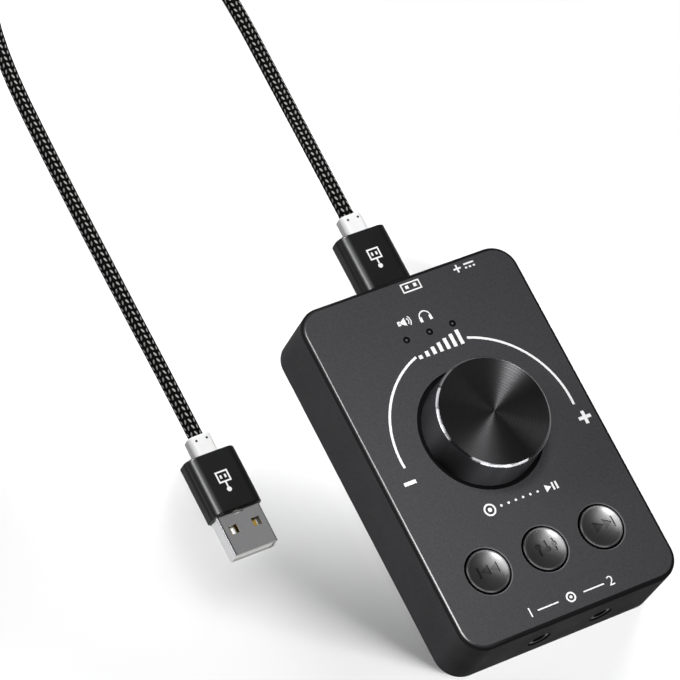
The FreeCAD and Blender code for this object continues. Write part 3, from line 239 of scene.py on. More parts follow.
def sand_textured_cover(colours):
    # ABS moulded in a spark-eroded tool: even fine grit that breaks up every reflection. The holding
    # hand has rubbed the rounded left edge smooth. Painted shade darkens the rounded top edge all round
    # and blackens the well, the holes and a ring round each light hole. A painted highlight makes the
    # holes' broken edges pale.
    finish, tree, shader, place = start_finish("abs_sand_textured", colours.cover, 0.8, IOR=1.5,
                                               Specular_IOR_Level=0.1, Coat_Roughness=0.3, Coat_IOR=1.9)
    parts = add_node(tree, "SeparateXYZ", links={"Vector": place})
    depth = add_node(tree, "Math", {"operation": "SUBTRACT", 0: HOUSING_TOP}, {1: parts.outputs["Z"]})
    edge_shade_band = add_node(tree, "MapRange", {"interpolation_type": "SMOOTHSTEP", "From Min": EDGE_SHADE_DEPTHS[0],
                                         "From Max": EDGE_SHADE_DEPTHS[1]}, {"Value": depth.outputs[0]})
    below = add_node(tree, "Math", {"operation": "GREATER_THAN", 1: TOP_SKIN}, {0: depth.outputs[0]})
    grit = add_node(tree, "TexNoise", {"Scale": 1 / (0.35 * MM), "Detail": 3.0, "Roughness": 0.6},
                    {"Vector": place})
    value = add_node(tree, "MapRange", {"From Min": 0.3, "From Max": 0.7, "To Min": 0.84, "To Max": 1.16},
                     {"Value": grit.outputs["Fac"]})
    across = add_node(tree, "Math", {"operation": "ABSOLUTE"}, {0: parts.outputs["X"]})
    along = add_node(tree, "Math", {"operation": "ABSOLUTE"}, {0: parts.outputs["Y"]})
    beside = add_node(tree, "Math", {"operation": "LESS_THAN", 1: HOLLOW_X}, {0: across.outputs[0]})
    within = add_node(tree, "Math", {"operation": "LESS_THAN", 1: HOLLOW_Y}, {0: along.outputs[0]})
    inner = add_node(tree, "Math", {"operation": "MULTIPLY"}, {0: beside.outputs[0], 1: within.outputs[0]})
    # The housing's rounded corners reach into that box, so they are cut off it.
    slant = add_node(tree, "Math", {"operation": "ADD"}, {0: across.outputs[0], 1: along.outputs[0]})
    uncornered = add_node(tree, "Math", {"operation": "LESS_THAN", 1: HOLLOW_SLANT}, {0: slant.outputs[0]})
    hollow = add_node(tree, "Math", {"operation": "MULTIPLY"},
                      {0: inner.outputs[0], 1: uncornered.outputs[0]})
    # The holes' broken edges are painted pale as a painted highlight, and below that the holes are painted
    # black as painted shade.
    sunken = add_node(tree, "Math", {"operation": "GREATER_THAN", 1: HOLE_BREAK}, {0: depth.outputs[0]})
    inside = add_node(tree, "Math", {"operation": "MULTIPLY"},
                      {0: hollow.outputs[0], 1: sunken.outputs[0]})
    broken = add_node(tree, "Math", {"operation": "MULTIPLY"}, {0: hollow.outputs[0], 1: below.outputs[0]})
    outer = add_node(tree, "Math", {"operation": "SUBTRACT", "use_clamp": True},
                     {0: below.outputs[0], 1: hollow.outputs[0]})
    edge = add_node(tree, "Math", {"operation": "MULTIPLY"}, {0: edge_shade_band.outputs[0], 1: outer.outputs[0]})
    # Painted shade: a ring round each light hole is coloured black too, so the holes look wider.
    light_hole_shade = add_node(tree, "Math", {"operation": "LESS_THAN", 1: LIGHT_SHADE_RADIUS},
                        {0: light_reach(tree, parts)})
    painted_shade = add_node(tree, "Math", {"operation": "MAXIMUM"}, {0: inside.outputs[0], 1: light_hole_shade.outputs[0]})
    grey = add_node(tree, "HueSaturation", {"Color": (*colours.cover, 1.0)},
                    {"Value": value.outputs["Result"]})
    # Painted shade: the rounded top edge takes a darker colour.
    edge_shaded = add_node(tree, "Mix", {"data_type": "RGBA", 7: (*colours.cover_edge_shade, 1.0)},
                    {0: edge.outputs[0], 6: grey.outputs["Color"]})
    # Painted highlight: the holes' broken edges take a pale colour.
    edge_highlighted = add_node(tree, "Mix", {"data_type": "RGBA", 7: (*from_hex(HOLE_EDGE_HIGHLIGHT), 1.0)},
                       {0: broken.outputs[0], 6: edge_shaded.outputs[2]})
    tint = add_node(tree, "Mix", {"data_type": "RGBA", 7: (*colours.cover_inside_shade, 1.0)},
                    {0: painted_shade.outputs[0], 6: edge_highlighted.outputs[2]})
    tree.links.new(tint.outputs[2], shader.inputs["Base Color"])
    # The rubbed gloss is one thin line where the left edge's rounding starts.
    start = add_node(tree, "MapRange", {"interpolation_type": "SMOOTHSTEP", "From Min": GLOSS_START[0],
                                        "From Max": GLOSS_START[1]}, {"Value": depth.outputs[0]})
    stop = add_node(tree, "MapRange", {"interpolation_type": "SMOOTHSTEP", "From Min": GLOSS_END[0],
                                       "From Max": GLOSS_END[1]}, {"Value": depth.outputs[0]})
    line = add_node(tree, "Math", {"operation": "MULTIPLY"},
                    {0: start.outputs["Result"], 1: stop.outputs["Result"]})
    shown = add_node(tree, "Math", {"operation": "SUBTRACT", "use_clamp": True},
                     {0: line.outputs[0], 1: hollow.outputs[0]})
    left = add_node(tree, "MapRange", {"interpolation_type": "SMOOTHSTEP", "From Min": GLOSS_LEFT[0],
                                       "From Max": GLOSS_LEFT[1]}, {"Value": parts.outputs["X"]})
    held = add_node(tree, "Math", {"operation": "MULTIPLY"}, {0: shown.outputs[0], 1: left.outputs[0]})
    tree.links.new(held.outputs[0], shader.inputs["Coat Weight"])
    wear(tree, shader, place, 0.75, 0.85, 9 * MM)
    relief(tree, shader, grit.outputs["Fac"], 0.03 * MM, 0.5)
    return finish


def turned_anodised_dial(colours):
    # Aluminium turned on a lathe, anodised black, then its chamfer cut bright: the fine rings
    # stretch every highlight into a fan, and the bare edge mirrors the room.
    sizes = bpy.context.scene.knob_sizes
    finish, tree, shader, place = start_finish("aluminium_turned_anodised", colours.dial, DIAL_ROUGH,
                                               Metallic=1.0, Anisotropic=0.95,
                                               Anisotropic_Rotation=0.25)
    centred = add_node(tree, "Mapping", {"Location": (-DIAL_AXIS.x, -DIAL_AXIS.y, 0.0)},
                       {"Vector": place})
    parts = add_node(tree, "SeparateXYZ", links={"Vector": centred.outputs["Vector"]})
    flat = add_node(tree, "CombineXYZ", links={"X": parts.outputs["X"], "Y": parts.outputs["Y"]})
    radius = add_node(tree, "VectorMath", {"operation": "LENGTH"}, {0: flat.outputs["Vector"]})
    turns = add_node(tree, "Math", {"operation": "MULTIPLY", 1: 2 * math.pi / sizes.groove_pitch},
                     {0: radius.outputs["Value"]})
    groove = add_node(tree, "Math", {"operation": "SINE"}, {0: turns.outputs[0]})
    drift = add_node(tree, "TexNoise", {"noise_dimensions": "1D", "Scale": 1 / (0.9 * MM), "Detail": 3.0},
                     {"W": radius.outputs["Value"]})
    cut = add_node(tree, "Math", {"operation": "MULTIPLY"}, {0: groove.outputs[0], 1: drift.outputs["Fac"]})
    relief(tree, shader, cut.outputs[0], 0.010 * MM)
    over = add_node(tree, "Math", {"operation": "GREATER_THAN", 1: DIAL_TOP - DIAL_CHAMFER + LEVEL / 2},
                    {0: parts.outputs["Z"]})
    rim = DIAL_TOP_RADIUS - DIAL_CHAMFER + LEVEL
    outside = add_node(tree, "Math", {"operation": "GREATER_THAN", 1: rim}, {0: radius.outputs["Value"]})
    edge = add_node(tree, "Math", {"operation": "MULTIPLY"}, {0: over.outputs[0], 1: outside.outputs[0]})
    face = add_node(tree, "Math", {"operation": "GREATER_THAN", 1: DIAL_TOP - LEVEL},
                    {0: parts.outputs["Z"]})
    # Painted light: the side takes a lighter colour than the top.
    body = add_node(tree, "Mix", {"data_type": "RGBA", 6: (*colours.dial_side_brightened, 1.0),
                                  7: (*colours.dial, 1.0)}, {0: face.outputs[0]})
    tint = add_node(tree, "Mix", {"data_type": "RGBA", 7: (*colours.dial_edge, 1.0)},
                    {0: edge.outputs[0], 6: body.outputs[2]})
    tree.links.new(tint.outputs[2], shader.inputs["Base Color"])
    polish = add_node(tree, "MapRange", {"To Min": DIAL_ROUGH, "To Max": DIAL_EDGE_ROUGH},
                      {"Value": edge.outputs[0]})
    tree.links.new(polish.outputs["Result"], shader.inputs["Roughness"])
    around = add_node(tree, "Tangent", {"direction_type": "RADIAL", "axis": "Z"})
    tree.links.new(around.outputs["Tangent"], shader.inputs["Tangent"])
    return finish


def crowned_button_plastic(colours):
    # ABS moulded in a polished tool: a soft even gloss that shows the crown's shape. The signs are
    # dull, and their floors are painted dark as painted shade in the engraving.
    finish, tree, shader, place = start_finish("abs_satin_buttons", colours.buttons, 0.4, IOR=1.5,
                                               Specular_IOR_Level=0.5, Coat_Weight=1.0,
                                               Coat_IOR=2.0, Coat_Roughness=0.32)
    mottle(tree, shader, place, colours.buttons, 3.6 * MM, 0.03)
    wear(tree, shader, place, 0.37, 0.43, 6 * MM)
    sand = add_node(tree, "TexNoise", {"Scale": 1 / (0.3 * MM), "Detail": 2.0}, {"Vector": place})
    relief(tree, shader, sand.outputs["Fac"], 0.002 * MM)
    reach = 1.0
    for name in BUTTON_SIGNS:
        middle = on_top(f"button_{name}", -BUTTON_BALL)
        centre = add_node(tree, "VectorMath", {"operation": "DISTANCE", 1: middle}, {0: place})
        nearest = add_node(tree, "Math", {"operation": "MINIMUM", 1: 1.0}, {0: centre.outputs["Value"]})
        if reach != 1.0:
            tree.links.new(reach, nearest.inputs[1])
        reach = nearest.outputs[0]
    parts = add_node(tree, "SeparateXYZ", links={"Vector": place})
    crown = add_node(tree, "Math", {"operation": "GREATER_THAN", 1: BUTTON_TOP - 0.9 * BUTTON_DOME},
                     {0: parts.outputs["Z"]})
    deep = add_node(tree, "Math", {"operation": "LESS_THAN", 1: BUTTON_BALL - 0.03 * MM}, {0: reach})
    sign = add_node(tree, "Math", {"operation": "MULTIPLY"}, {0: crown.outputs[0], 1: deep.outputs[0]})
    gloss = add_node(tree, "MapRange", {"To Min": 1.0, "To Max": 0.5}, {"Value": sign.outputs[0]})
    tree.links.new(gloss.outputs["Result"], shader.inputs["Coat Weight"])
    # Painted shade: the floors of the signs take a darker colour.
    tint = add_node(tree, "Mix", {"data_type": "RGBA", 7: (*from_hex(SIGN_SHADE), 1.0)},
                    {0: sign.outputs[0], 6: shader.inputs["Base Color"].links[0].from_socket})
    tree.links.new(tint.outputs[2], shader.inputs["Base Color"])
    return finish


def screen_print(colours):
    # Screen-printed ink: flat, slightly chalky, with a few thin places where the mesh let less through.
    return moulded_plastic("ink_screen_printed", colours.ink, 0.55, 0.25 * MM, 0.004 * MM, 0.03)


def satin_plug_grip(colours):
    # PVC moulded over the plug: a dull dark skin, polished by the thumb along one rounded upper edge,
    # which gives one clear streak along it.
    finish, tree, shader, place = start_finish("pvc_satin_grip", colours.plug_grip, 0.45, IOR=1.5,
                                               Specular_IOR_Level=0.12, Coat_Roughness=0.28,
                                               Coat_IOR=1.8)
    mottle(tree, shader, place, colours.plug_grip, 5 * MM, 0.06)
    wear(tree, shader, place, 0.4, 0.5, 8 * MM)
    sand = add_node(tree, "TexNoise", {"Scale": 1 / (0.4 * MM), "Detail": 2.0}, {"Vector": place})
    relief(tree, shader, sand.outputs["Fac"], 0.003 * MM)
    # The far plug lies on the surface and the near one is held up in its socket.
    parts = add_node(tree, "SeparateXYZ", links={"Vector": place})
    near = add_node(tree, "Math", {"operation": "GREATER_THAN", 1: FAR_PLUG_X / 2}, {0: parts.outputs["X"]})
    lift = add_node(tree, "Math", {"operation": "MULTIPLY", 1: PLUG_LIFT}, {0: near.outputs[0]})
    height = add_node(tree, "Math", {"operation": "SUBTRACT"}, {0: parts.outputs["Z"], 1: lift.outputs[0]})
    upper = add_node(tree, "MapRange", {"interpolation_type": "SMOOTHSTEP", "From Min": GRIP_TOP[0],
                                        "From Max": GRIP_TOP[1]}, {"Value": height.outputs[0]})
    far = add_node(tree, "Math", {"operation": "SUBTRACT", 0: 1.0}, {1: near.outputs[0]})
    centred = add_node(tree, "Math", {"operation": "MULTIPLY_ADD", 1: -FAR_PLUG_X},
                       {0: far.outputs[0], 2: parts.outputs["X"]})
    rounded = add_node(tree, "MapRange", {"interpolation_type": "SMOOTHSTEP", "From Min": GRIP_LEFT[0],
                                          "From Max": GRIP_LEFT[1]}, {"Value": centred.outputs[0]})
    polish = add_node(tree, "Math", {"operation": "MULTIPLY"},
                      {0: upper.outputs["Result"], 1: rounded.outputs["Result"]})
    tree.links.new(polish.outputs[0], shader.inputs["Coat Weight"])
    return finish


def white_collar(colours):
    # Polypropylene sleeve: bright, slightly waxy.
    finish, tree, shader, place = start_finish("polypropylene_white", colours.collar, 0.35, IOR=1.49,
                                               Subsurface_Weight=0.08, Subsurface_Scale=0.6 * MM)
    mottle(tree, shader, place, colours.collar, 3 * MM, 0.02)
    skin = add_node(tree, "TexNoise", {"Scale": 1 / (0.3 * MM)}, {"Vector": place})
    relief(tree, shader, skin.outputs["Fac"], 0.002 * MM)
    # The two dimples of each collar are painted dark, as painted shade in them.
    tint = shader.inputs["Base Color"].links[0].from_socket
    for name in ("near_plug_collar", "far_plug_collar"):
        low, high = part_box(name)
        for side in (-DIMPLE_ASIDE, DIMPLE_ASIDE):
            spot = ((low.x + high.x) / 2 + side, high.y - DIMPLE_BACK, high.z - DIMPLE_DEPTH / 2)
            reach = add_node(tree, "VectorMath", {"operation": "DISTANCE", 1: spot}, {0: place})
            near = add_node(tree, "MapRange", {"interpolation_type": "SMOOTHSTEP", "From Min": 0.42 * MM,
                                               "From Max": 0.3 * MM}, {"Value": reach.outputs["Value"]})
            dimple_shaded = add_node(tree, "Mix", {"data_type": "RGBA", 7: (*from_hex(DIMPLE_SHADE), 1.0)},
                             {0: near.outputs["Result"], 6: tint})
            tint = dimple_shaded.outputs[2]
    tree.links.new(tint, shader.inputs["Base Color"])
    return finish


def braided_nylon(colours):
    # Nylon yarn braided round the cord: ten rows of short stitches, leaning left and right by
    # turns, each a light thread lying over dull dark ones; the light threads of every other row are dimmed,
    # a painted shade that makes those rows look deeper.
    sizes = bpy.context.scene.knob_sizes
    finish, tree, shader, _ = start_finish("nylon_braided", colours.yarn_dark, 0.7,
                                           Specular_IOR_Level=0.06)
    course = add_node(tree, "UVMap", {"uv_map": "course"})
    parts = add_node(tree, "SeparateXYZ", links={"Vector": course.outputs["UV"]})
    along, around = parts.outputs["X"], parts.outputs["Y"]
    across = add_node(tree, "Math", {"operation": "MULTIPLY", 1: float(BRAID_ROWS)}, {0: around})
    row = add_node(tree, "Math", {"operation": "FLOOR"}, {0: across.outputs[0]})
    side = add_node(tree, "Math", {"operation": "FRACT"}, {0: across.outputs[0]})
    half = add_node(tree, "Math", {"operation": "MULTIPLY", 1: 0.5}, {0: row.outputs[0]})
    odd = add_node(tree, "Math", {"operation": "FRACT"}, {0: half.outputs[0]})
    way = add_node(tree, "Math", {"operation": "MULTIPLY_ADD", 1: -4.0, 2: 1.0}, {0: odd.outputs[0]})
    steps = add_node(tree, "Math", {"operation": "DIVIDE", 1: sizes.fleck_pitch}, {0: along})
    shift = add_node(tree, "Math", {"operation": "MULTIPLY_ADD", 1: 0.08},
                     {0: row.outputs[0], 2: steps.outputs[0]})
    step = add_node(tree, "Math", {"operation": "FRACT"}, {0: shift.outputs[0]})
    girth = math.pi * sizes.cord_diameter / BRAID_ROWS
    x = add_node(tree, "Math", {"operation": "MULTIPLY_ADD", 1: girth / MM, 2: -girth / MM / 2},
                 {0: side.outputs[0]})
    y = add_node(tree, "Math", {"operation": "MULTIPLY_ADD", 1: sizes.fleck_pitch / MM,
                                2: -sizes.fleck_pitch / MM / 2}, {0: step.outputs[0]})
    turned = add_node(tree, "Math", {"operation": "MULTIPLY", 1: math.tan(BRAID_LEAN)}, {0: way.outputs[0]})
    slant = add_node(tree, "Math", {"operation": "MULTIPLY"}, {0: turned.outputs[0], 1: y.outputs[0]})
    offset = add_node(tree, "Math", {"operation": "ADD"}, {0: x.outputs[0], 1: slant.outputs[0]})
    wide = add_node(tree, "Math", {"operation": "DIVIDE", 1: THREAD_WIDE}, {0: offset.outputs[0]})
    long = add_node(tree, "Math", {"operation": "DIVIDE", 1: THREAD_LONG}, {0: y.outputs[0]})
    point = add_node(tree, "CombineXYZ", links={"X": wide.outputs[0], "Y": long.outputs[0]})
    reach = add_node(tree, "VectorMath", {"operation": "LENGTH"}, {0: point.outputs["Vector"]})
    fleck = add_node(tree, "MapRange", {"interpolation_type": "SMOOTHSTEP", "From Min": 1.15,
                                        "From Max": 0.75}, {"Value": reach.outputs["Value"]})
    # Painted shade: every other row's light threads are dimmed.
    depth = add_node(tree, "Math", {"operation": "MULTIPLY_ADD", 1: -0.7, 2: 1.0}, {0: odd.outputs[0]})
    shown = add_node(tree, "Math", {"operation": "MULTIPLY"},
                     {0: fleck.outputs["Result"], 1: depth.outputs[0]})
    tint = add_node(tree, "Mix", {"data_type": "RGBA", 6: (*colours.yarn_dark, 1.0),
                                  7: (*colours.yarn_light, 1.0)}, {0: shown.outputs[0]})
    tree.links.new(tint.outputs[2], shader.inputs["Base Color"])
    crown = add_node(tree, "MapRange", {"From Min": 1.6, "From Max": 0.0}, {"Value": reach.outputs["Value"]})
    relief(tree, shader, crown.outputs["Result"], 0.16 * MM)
    return finish


def smoked_light_guide(colours):
    # Smoked acrylic: nearly black from outside, with a paler diffusing core in each window.
    finish, tree, shader, place = start_finish("acrylic_smoked", colours.window, 0.15, IOR=1.49)
    parts = add_node(tree, "SeparateXYZ", links={"Vector": place})
    core = add_node(tree, "MapRange", {"interpolation_type": "SMOOTHSTEP", "From Min": 0.42 * MM,
                                       "From Max": 0.12 * MM}, {"Value": light_reach(tree, parts)})
    tint = add_node(tree, "Mix", {"data_type": "RGBA", 6: (*colours.window, 1.0),
                                  7: (*from_hex(LIGHT_CORE), 1.0)}, {0: core.outputs["Result"]})
    tree.links.new(tint.outputs[2], shader.inputs["Base Color"])
    wear(tree, shader, place, 0.12, 0.2, 0.5 * MM)
    return finish


def solder_mask(colours):
    # Fibreglass laminate under green solder mask: glossy, with the faint weave of the glass.
    base = from_hex("#1d5a34")
    finish, tree, shader, place = start_finish("fr4_solder_mask", base, 0.3, IOR=1.52)
    weave = add_node(tree, "TexChecker", {"Scale": 1 / (0.6 * MM)}, {"Vector": place})
    mottle(tree, shader, place, base, 4 * MM, 0.12)
    relief(tree, shader, weave.outputs["Fac"], 0.002 * MM, 0.4)
    return finish


def woven_strap(colours):
    # Nylon hook-and-loop strap: a dull woven ribbon with a napped face.
    finish, tree, shader, place = start_finish("nylon_strap_woven", colours.strap, 0.8,
                                               Sheen_Weight=0.3)
    ribs = add_node(tree, "TexWave", {"wave_type": "BANDS", "bands_direction": "X",
                                      "Scale": 1 / (10 * MM), "Distortion": 0.4}, {"Vector": place})
    nap = add_node(tree, "TexNoise", {"Scale": 1 / (0.25 * MM), "Detail": 4.0}, {"Vector": place})
    rough = add_node(tree, "Math", {"operation": "ADD"}, {0: ribs.outputs["Fac"], 1: nap.outputs["Fac"]})
    mottle(tree, shader, place, colours.strap, 1.2 * MM, 0.3)
    relief(tree, shader, rough.outputs[0], 0.06 * MM)
    return finish


# The plain finishes by slot: name, colour (a number or one of the panel's), roughness, grain and
# relief in millimetres, and how far the colour drifts where it isn't as usual.
PLASTICS = {
    "floor_plastic": ("abs_moulded_floor", "floor_plate", 0.5, 0.4, 0.02),
    "foot_rubber": ("silicone_rubber_matt", "#1b1b1b", 0.75, 0.3, 0.02, 0.12),
    "black_moulding": ("nylon_glass_filled_black", "#17171a", 0.45, 0.3, 0.01),
    "hub_plastic": ("polyacetal_black", "#202022", 0.4, 0.4, 0.01),
    "lamp_white": ("epoxy_lamp_milky", "#e8e6da", 0.3, 0.2, 0.002),
    "socket_plastic": ("lcp_white_insert", "#e6e6e6", 0.45, 0.3, 0.005),
    "plug_core_white": ("lcp_white_blade", "#f0f0ec", 0.4, 0.3, 0.004),
}
METALS = {
    "screw_steel": ("steel_zinc_plated", "#b4b5b8", 0.3, 0.3, 0.003),
    "plated_steel": ("steel_nickel_plated", "#c4c3c0", 0.24, 0.25, 0.002),
    "contact_brass": ("brass_gold_plated", "#d9b45a", 0.2, 0.2, 0.002),
    "capacitor_can": ("aluminium_can_drawn", "#bfc0c4", 0.28, 0.4, 0.003),
    "plug_metal": ("steel_shell_nickel_plated", "#cbcbcd", 0.26, 0.15, 0.0002, 0.01),
}
OWN_FINISHES = {
    "cover_plastic": sand_textured_cover, "dial_metal": turned_anodised_dial,
    "button_plastic": crowned_button_plastic, "plug_plastic": satin_plug_grip,
    "collar_white": white_collar, "cord_braid": braided_nylon, "light_clear": smoked_light_guide,
    "board_laminate": solder_mask, "tie_fabric": woven_strap, "ink": screen_print,
}
made_finishes = {}


def make_finish(slot):
    """Make the material of a slot."""
    colours = bpy.context.scene.knob_colours
    if slot in OWN_FINISHES:
        return OWN_FINISHES[slot](colours)
    make, rows = (plated_metal, METALS) if slot in METALS else (moulded_plastic, PLASTICS)
    name, base, roughness, grain, depth, *drift = rows[slot]
    base = from_hex(base) if base.startswith("#") else getattr(colours, base)
    return make(name, base, roughness, grain * MM, depth * MM, *drift)


def paint(piece, slot):
    """Give a piece the one material of a slot, which is made on first use."""
    if slot not in made_finishes:
        made_finishes[slot] = make_finish(slot)
    piece.data.materials.clear()
    piece.data.materials.append(made_finishes[slot])


# ---------------------------------------------------------------- modelling by hand

# How squarely a face or an edge points along an axis to be picked out, and what counts as level.
SQUARE = 0.9
LEVEL = 0.01 * MM
SWEEP_STEP = 4
SWEEP_LEAST = 6
FIGURE_SHARE = 0.7


def set_mode(mode):
    bpy.ops.object.mode_set(mode=mode)


def pick_all():
    bpy.ops.mesh.select_all(action="SELECT")


def rest_tools():
    """Leave edit mode and select nothing, so that the next operator acts on its own piece alone."""
    if bpy.context.object and bpy.context.object.mode != "OBJECT":
        set_mode("OBJECT")
    bpy.ops.object.select_all(action="DESELECT")


def hold(piece):
    """Select one piece alone and make it the active one."""
    rest_tools()
    piece.select_set(True)
    bpy.context.view_layer.objects.active = piece


def pick(kind, wanted):
    """In edit mode, select the faces, edges or points that a test picks out."""
    bpy.ops.mesh.select_mode(type=kind)
    bpy.ops.mesh.select_all(action="DESELECT")
    mesh = bmesh.from_edit_mesh(bpy.context.object.data)
    for item in {"FACE": mesh.faces, "EDGE": mesh.edges, "VERT": mesh.verts}[kind]:
        item.select_set(wanted(item))
    mesh.select_flush_mode()
    bmesh.update_edit_mesh(bpy.context.object.data)


def seat(piece):
    """Put a piece's place into its mesh, so that its object sits at the origin."""
    hold(piece)
    bpy.ops.object.transform_apply(location=True, rotation=True, scale=True)


def use_modifier(piece, kind, **settings):
    """Add a modifier with its settings and apply it."""
    hold(piece)
    modifier = piece.modifiers.new(kind.title(), kind)
    for name, value in settings.items():
        setattr(modifier, name, value)
    bpy.ops.object.modifier_apply(modifier=modifier.name)


def join(pieces):
    """Join pieces into the first of them."""
    hold(pieces[0])
    for piece in pieces:
        piece.select_set(True)
    if len(pieces) > 1:
        bpy.ops.object.join()
    return pieces[0]


def take(name):
    """Leave edit mode and name the piece that was being made."""
    set_mode("OBJECT")
    piece = bpy.context.object
    piece.name = piece.data.name = name
    return piece


def smooth(piece, angle):
    """Shade a piece smooth, but for edges that bend by more than an angle in degrees."""
    hold(piece)
    bpy.ops.object.shade_smooth_by_angle(angle=math.radians(angle))


def raise_face(height):
    bpy.ops.mesh.extrude_region_move(TRANSFORM_OT_translate={"value": (0, 0, height)})


def start_turned(sides, radius, place, height):
    """Start a turned piece in edit mode: a disc, raised by a height."""
    rest_tools()
    bpy.ops.mesh.primitive_circle_add(vertices=sides, radius=radius, fill_type="NGON", location=place,
                                      enter_editmode=True)
    pick_all()
    raise_face(height)


def on_top(name, lift=0.0):
    """Give the middle of the top of a node's box, lifted by a height."""
    low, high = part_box(name)
    return Vector(((low.x + high.x) / 2, (low.y + high.y) / 2, high.z + lift))


def lie_at(x, y, angle=0.0):
    return {"location": (x * MM, y * MM, 0.0), "rotation": (0.0, 0.0, math.radians(angle))}


def add_bar(x, y, width, height, angle=0.0):
    """Lay down one flat stroke; all the stroke functions take millimetres and degrees."""
    rest_tools()
    bpy.ops.mesh.primitive_plane_add(size=MM, **lie_at(x, y, angle))
    piece = bpy.context.object
    piece.scale = (width, height, 1.0)
    seat(piece)
    return piece


def add_disc(x, y, radius, corners=32, angle=0.0, stretch=1.0):
    """A round dot, or with few corners a triangle or diamond."""
    rest_tools()
    bpy.ops.mesh.primitive_circle_add(vertices=corners, radius=radius * MM, fill_type="NGON",
                                      **lie_at(x, y, angle))
    piece = bpy.context.object
    piece.scale.y = stretch
    seat(piece)
    return piece


def add_sweep(x, y, radius, line, start, end):
    """Spin a short stroke about a centre into an arc of a given line width."""
    rest_tools()
    bpy.ops.mesh.primitive_plane_add(size=line * MM, location=(0.0, 0.0, 0.0), enter_editmode=True)
    pick("VERT", lambda point: point.co.y > 0)
    bpy.ops.mesh.delete(type="VERT")
    pick_all()
    bpy.ops.transform.translate(value=(radius * MM, line * MM / 2, 0.0))
    steps = max(SWEEP_LEAST, round(abs(end - start) / SWEEP_STEP))
    bpy.ops.mesh.spin(steps=steps, angle=math.radians(end - start), center=(0.0, 0.0, 0.0),
                      axis=(0.0, 0.0, -1.0))
    pick_all()
    bpy.ops.mesh.remove_doubles(threshold=1e-6)
    set_mode("OBJECT")
    piece = bpy.context.object
    piece.location = (x * MM, y * MM, 0.0)
    piece.rotation_euler.z = math.radians(start)
    seat(piece)
    return piece


def add_digit(x, y, height, text):
    """Set a plain figure in outline type and turn it into a mesh."""
    rest_tools()
    bpy.ops.object.text_add(**lie_at(x, y))
    piece = bpy.context.object
    piece.data.body = text
    piece.data.align_x = piece.data.align_y = "CENTER"
    piece.data.size = height * MM / FIGURE_SHARE
    piece.data.resolution_u = 6
    bpy.ops.object.convert(target="MESH")
    seat(piece)
    return piece


STROKES = {"bar": add_bar, "disc": add_disc, "sweep": add_sweep, "digit": add_digit}


def lay_strokes(strokes, name):
    """Make the strokes of one sign and join them into one flat piece, its faces upwards."""
    join([STROKES[kind](*numbers) for kind, *numbers in strokes])
    set_mode("EDIT")
    pick("FACE", lambda face: face.normal.z < 0)
    bpy.ops.mesh.flip_normals()
    return take(name)


# ---------------------------------------------------------------- camera

# The camera's place in millimetres, the way it looks, and what is to its right.
CAMERA_PLACE = (-484.06, -244.81, 914.50)
CAMERA_LOOK = (0.44103, 0.26962, -0.85603)
CAMERA_RIGHT = (0.84423, -0.44831, 0.29375)
CAMERA_LENS = 230.22
CAMERA_SENSOR = 36.0


class KNOB_OT_camera(bpy.types.Operator):
    """Stand a long-lens camera over the housing's front left corner"""
    bl_idname = "knob.camera"
    bl_label = "Camera"

    def execute(self, context):
        rest_tools()
        look, right = Vector(CAMERA_LOOK), Vector(CAMERA_RIGHT)
        turn = Matrix((right, right.cross(look), -look)).transposed()
        bpy.ops.object.camera_add(location=[x * MM for x in CAMERA_PLACE], rotation=turn.to_euler())
        camera = context.object
        camera.name = "camera"
        camera.data.sensor_width = CAMERA_SENSOR
        camera.data.lens = CAMERA_LENS
        camera.data.clip_start = 0.01
        context.scene.camera = camera
        return {"FINISHED"}


# ---------------------------------------------------------------- cord

# The cord's course where it isn't wound, in millimetres, from each plug to the coil.
NEAR_ROUTE = [(0.0, 69.4, 9.25), (0.0, 82.0, 9.25), (3.9, 106.5, 1.95), (3.9, 142.0, 1.95),
              (-0.4, 161.0, 1.95), (-2.1, 177.5, 1.95)]
FAR_ROUTE = [(-61.2, 31.2, 3.5), (-61.2, 44.0, 3.5), (-60.8, 66.0, 1.95), (-61.2, 106.0, 1.95),
             (-60.7, 142.0, 1.95), (-56.2, 161.5, 3.9), (-53.9, 178.0, 5.75)]
COIL_CENTRE = (-28.0, 182.0)
COIL_TURNS = 6.5
POINTS_A_TURN = 16
OUTER_TURN, INNER_TURN = 25.9, 13.4
LOWER_LAYER, UPPER_LAYER = 1.95, 5.75
CLIMB_TURNS = 0.5
TIE_LIFT = 0.55
RING_STEP = 1.0 * MM
RING_SIDES = 24


def coil_points():
    """Wind the spare cord: in towards the middle on the surface, and out again on top of that."""
    half = COIL_TURNS / 2
    # A spline of order 3 passes inside its control points, so these lie a little further out.
    outwards = 2 / (1 + math.cos(math.pi / POINTS_A_TURN))
    points = []
    for index in range(1, round(COIL_TURNS * POINTS_A_TURN)):
        turn = index / POINTS_A_TURN
        radius = INNER_TURN + (OUTER_TURN - INNER_TURN) * abs(turn - half) / half
        share = min(1.0, max(0.0, (turn - half) / CLIMB_TURNS + 0.5))
        climb = share * share * (3 - 2 * share)
        angle = 2 * math.pi * turn
        # The cord rises a little where the tie passes under it.
        lift = TIE_LIFT * max(0.0, math.sin(angle)) ** 8
        points.append((COIL_CENTRE[0] + radius * outwards * math.cos(angle),
                       COIL_CENTRE[1] + radius * outwards * math.sin(angle),
                       LOWER_LAYER + (UPPER_LAYER - LOWER_LAYER) * climb + lift))
    return points


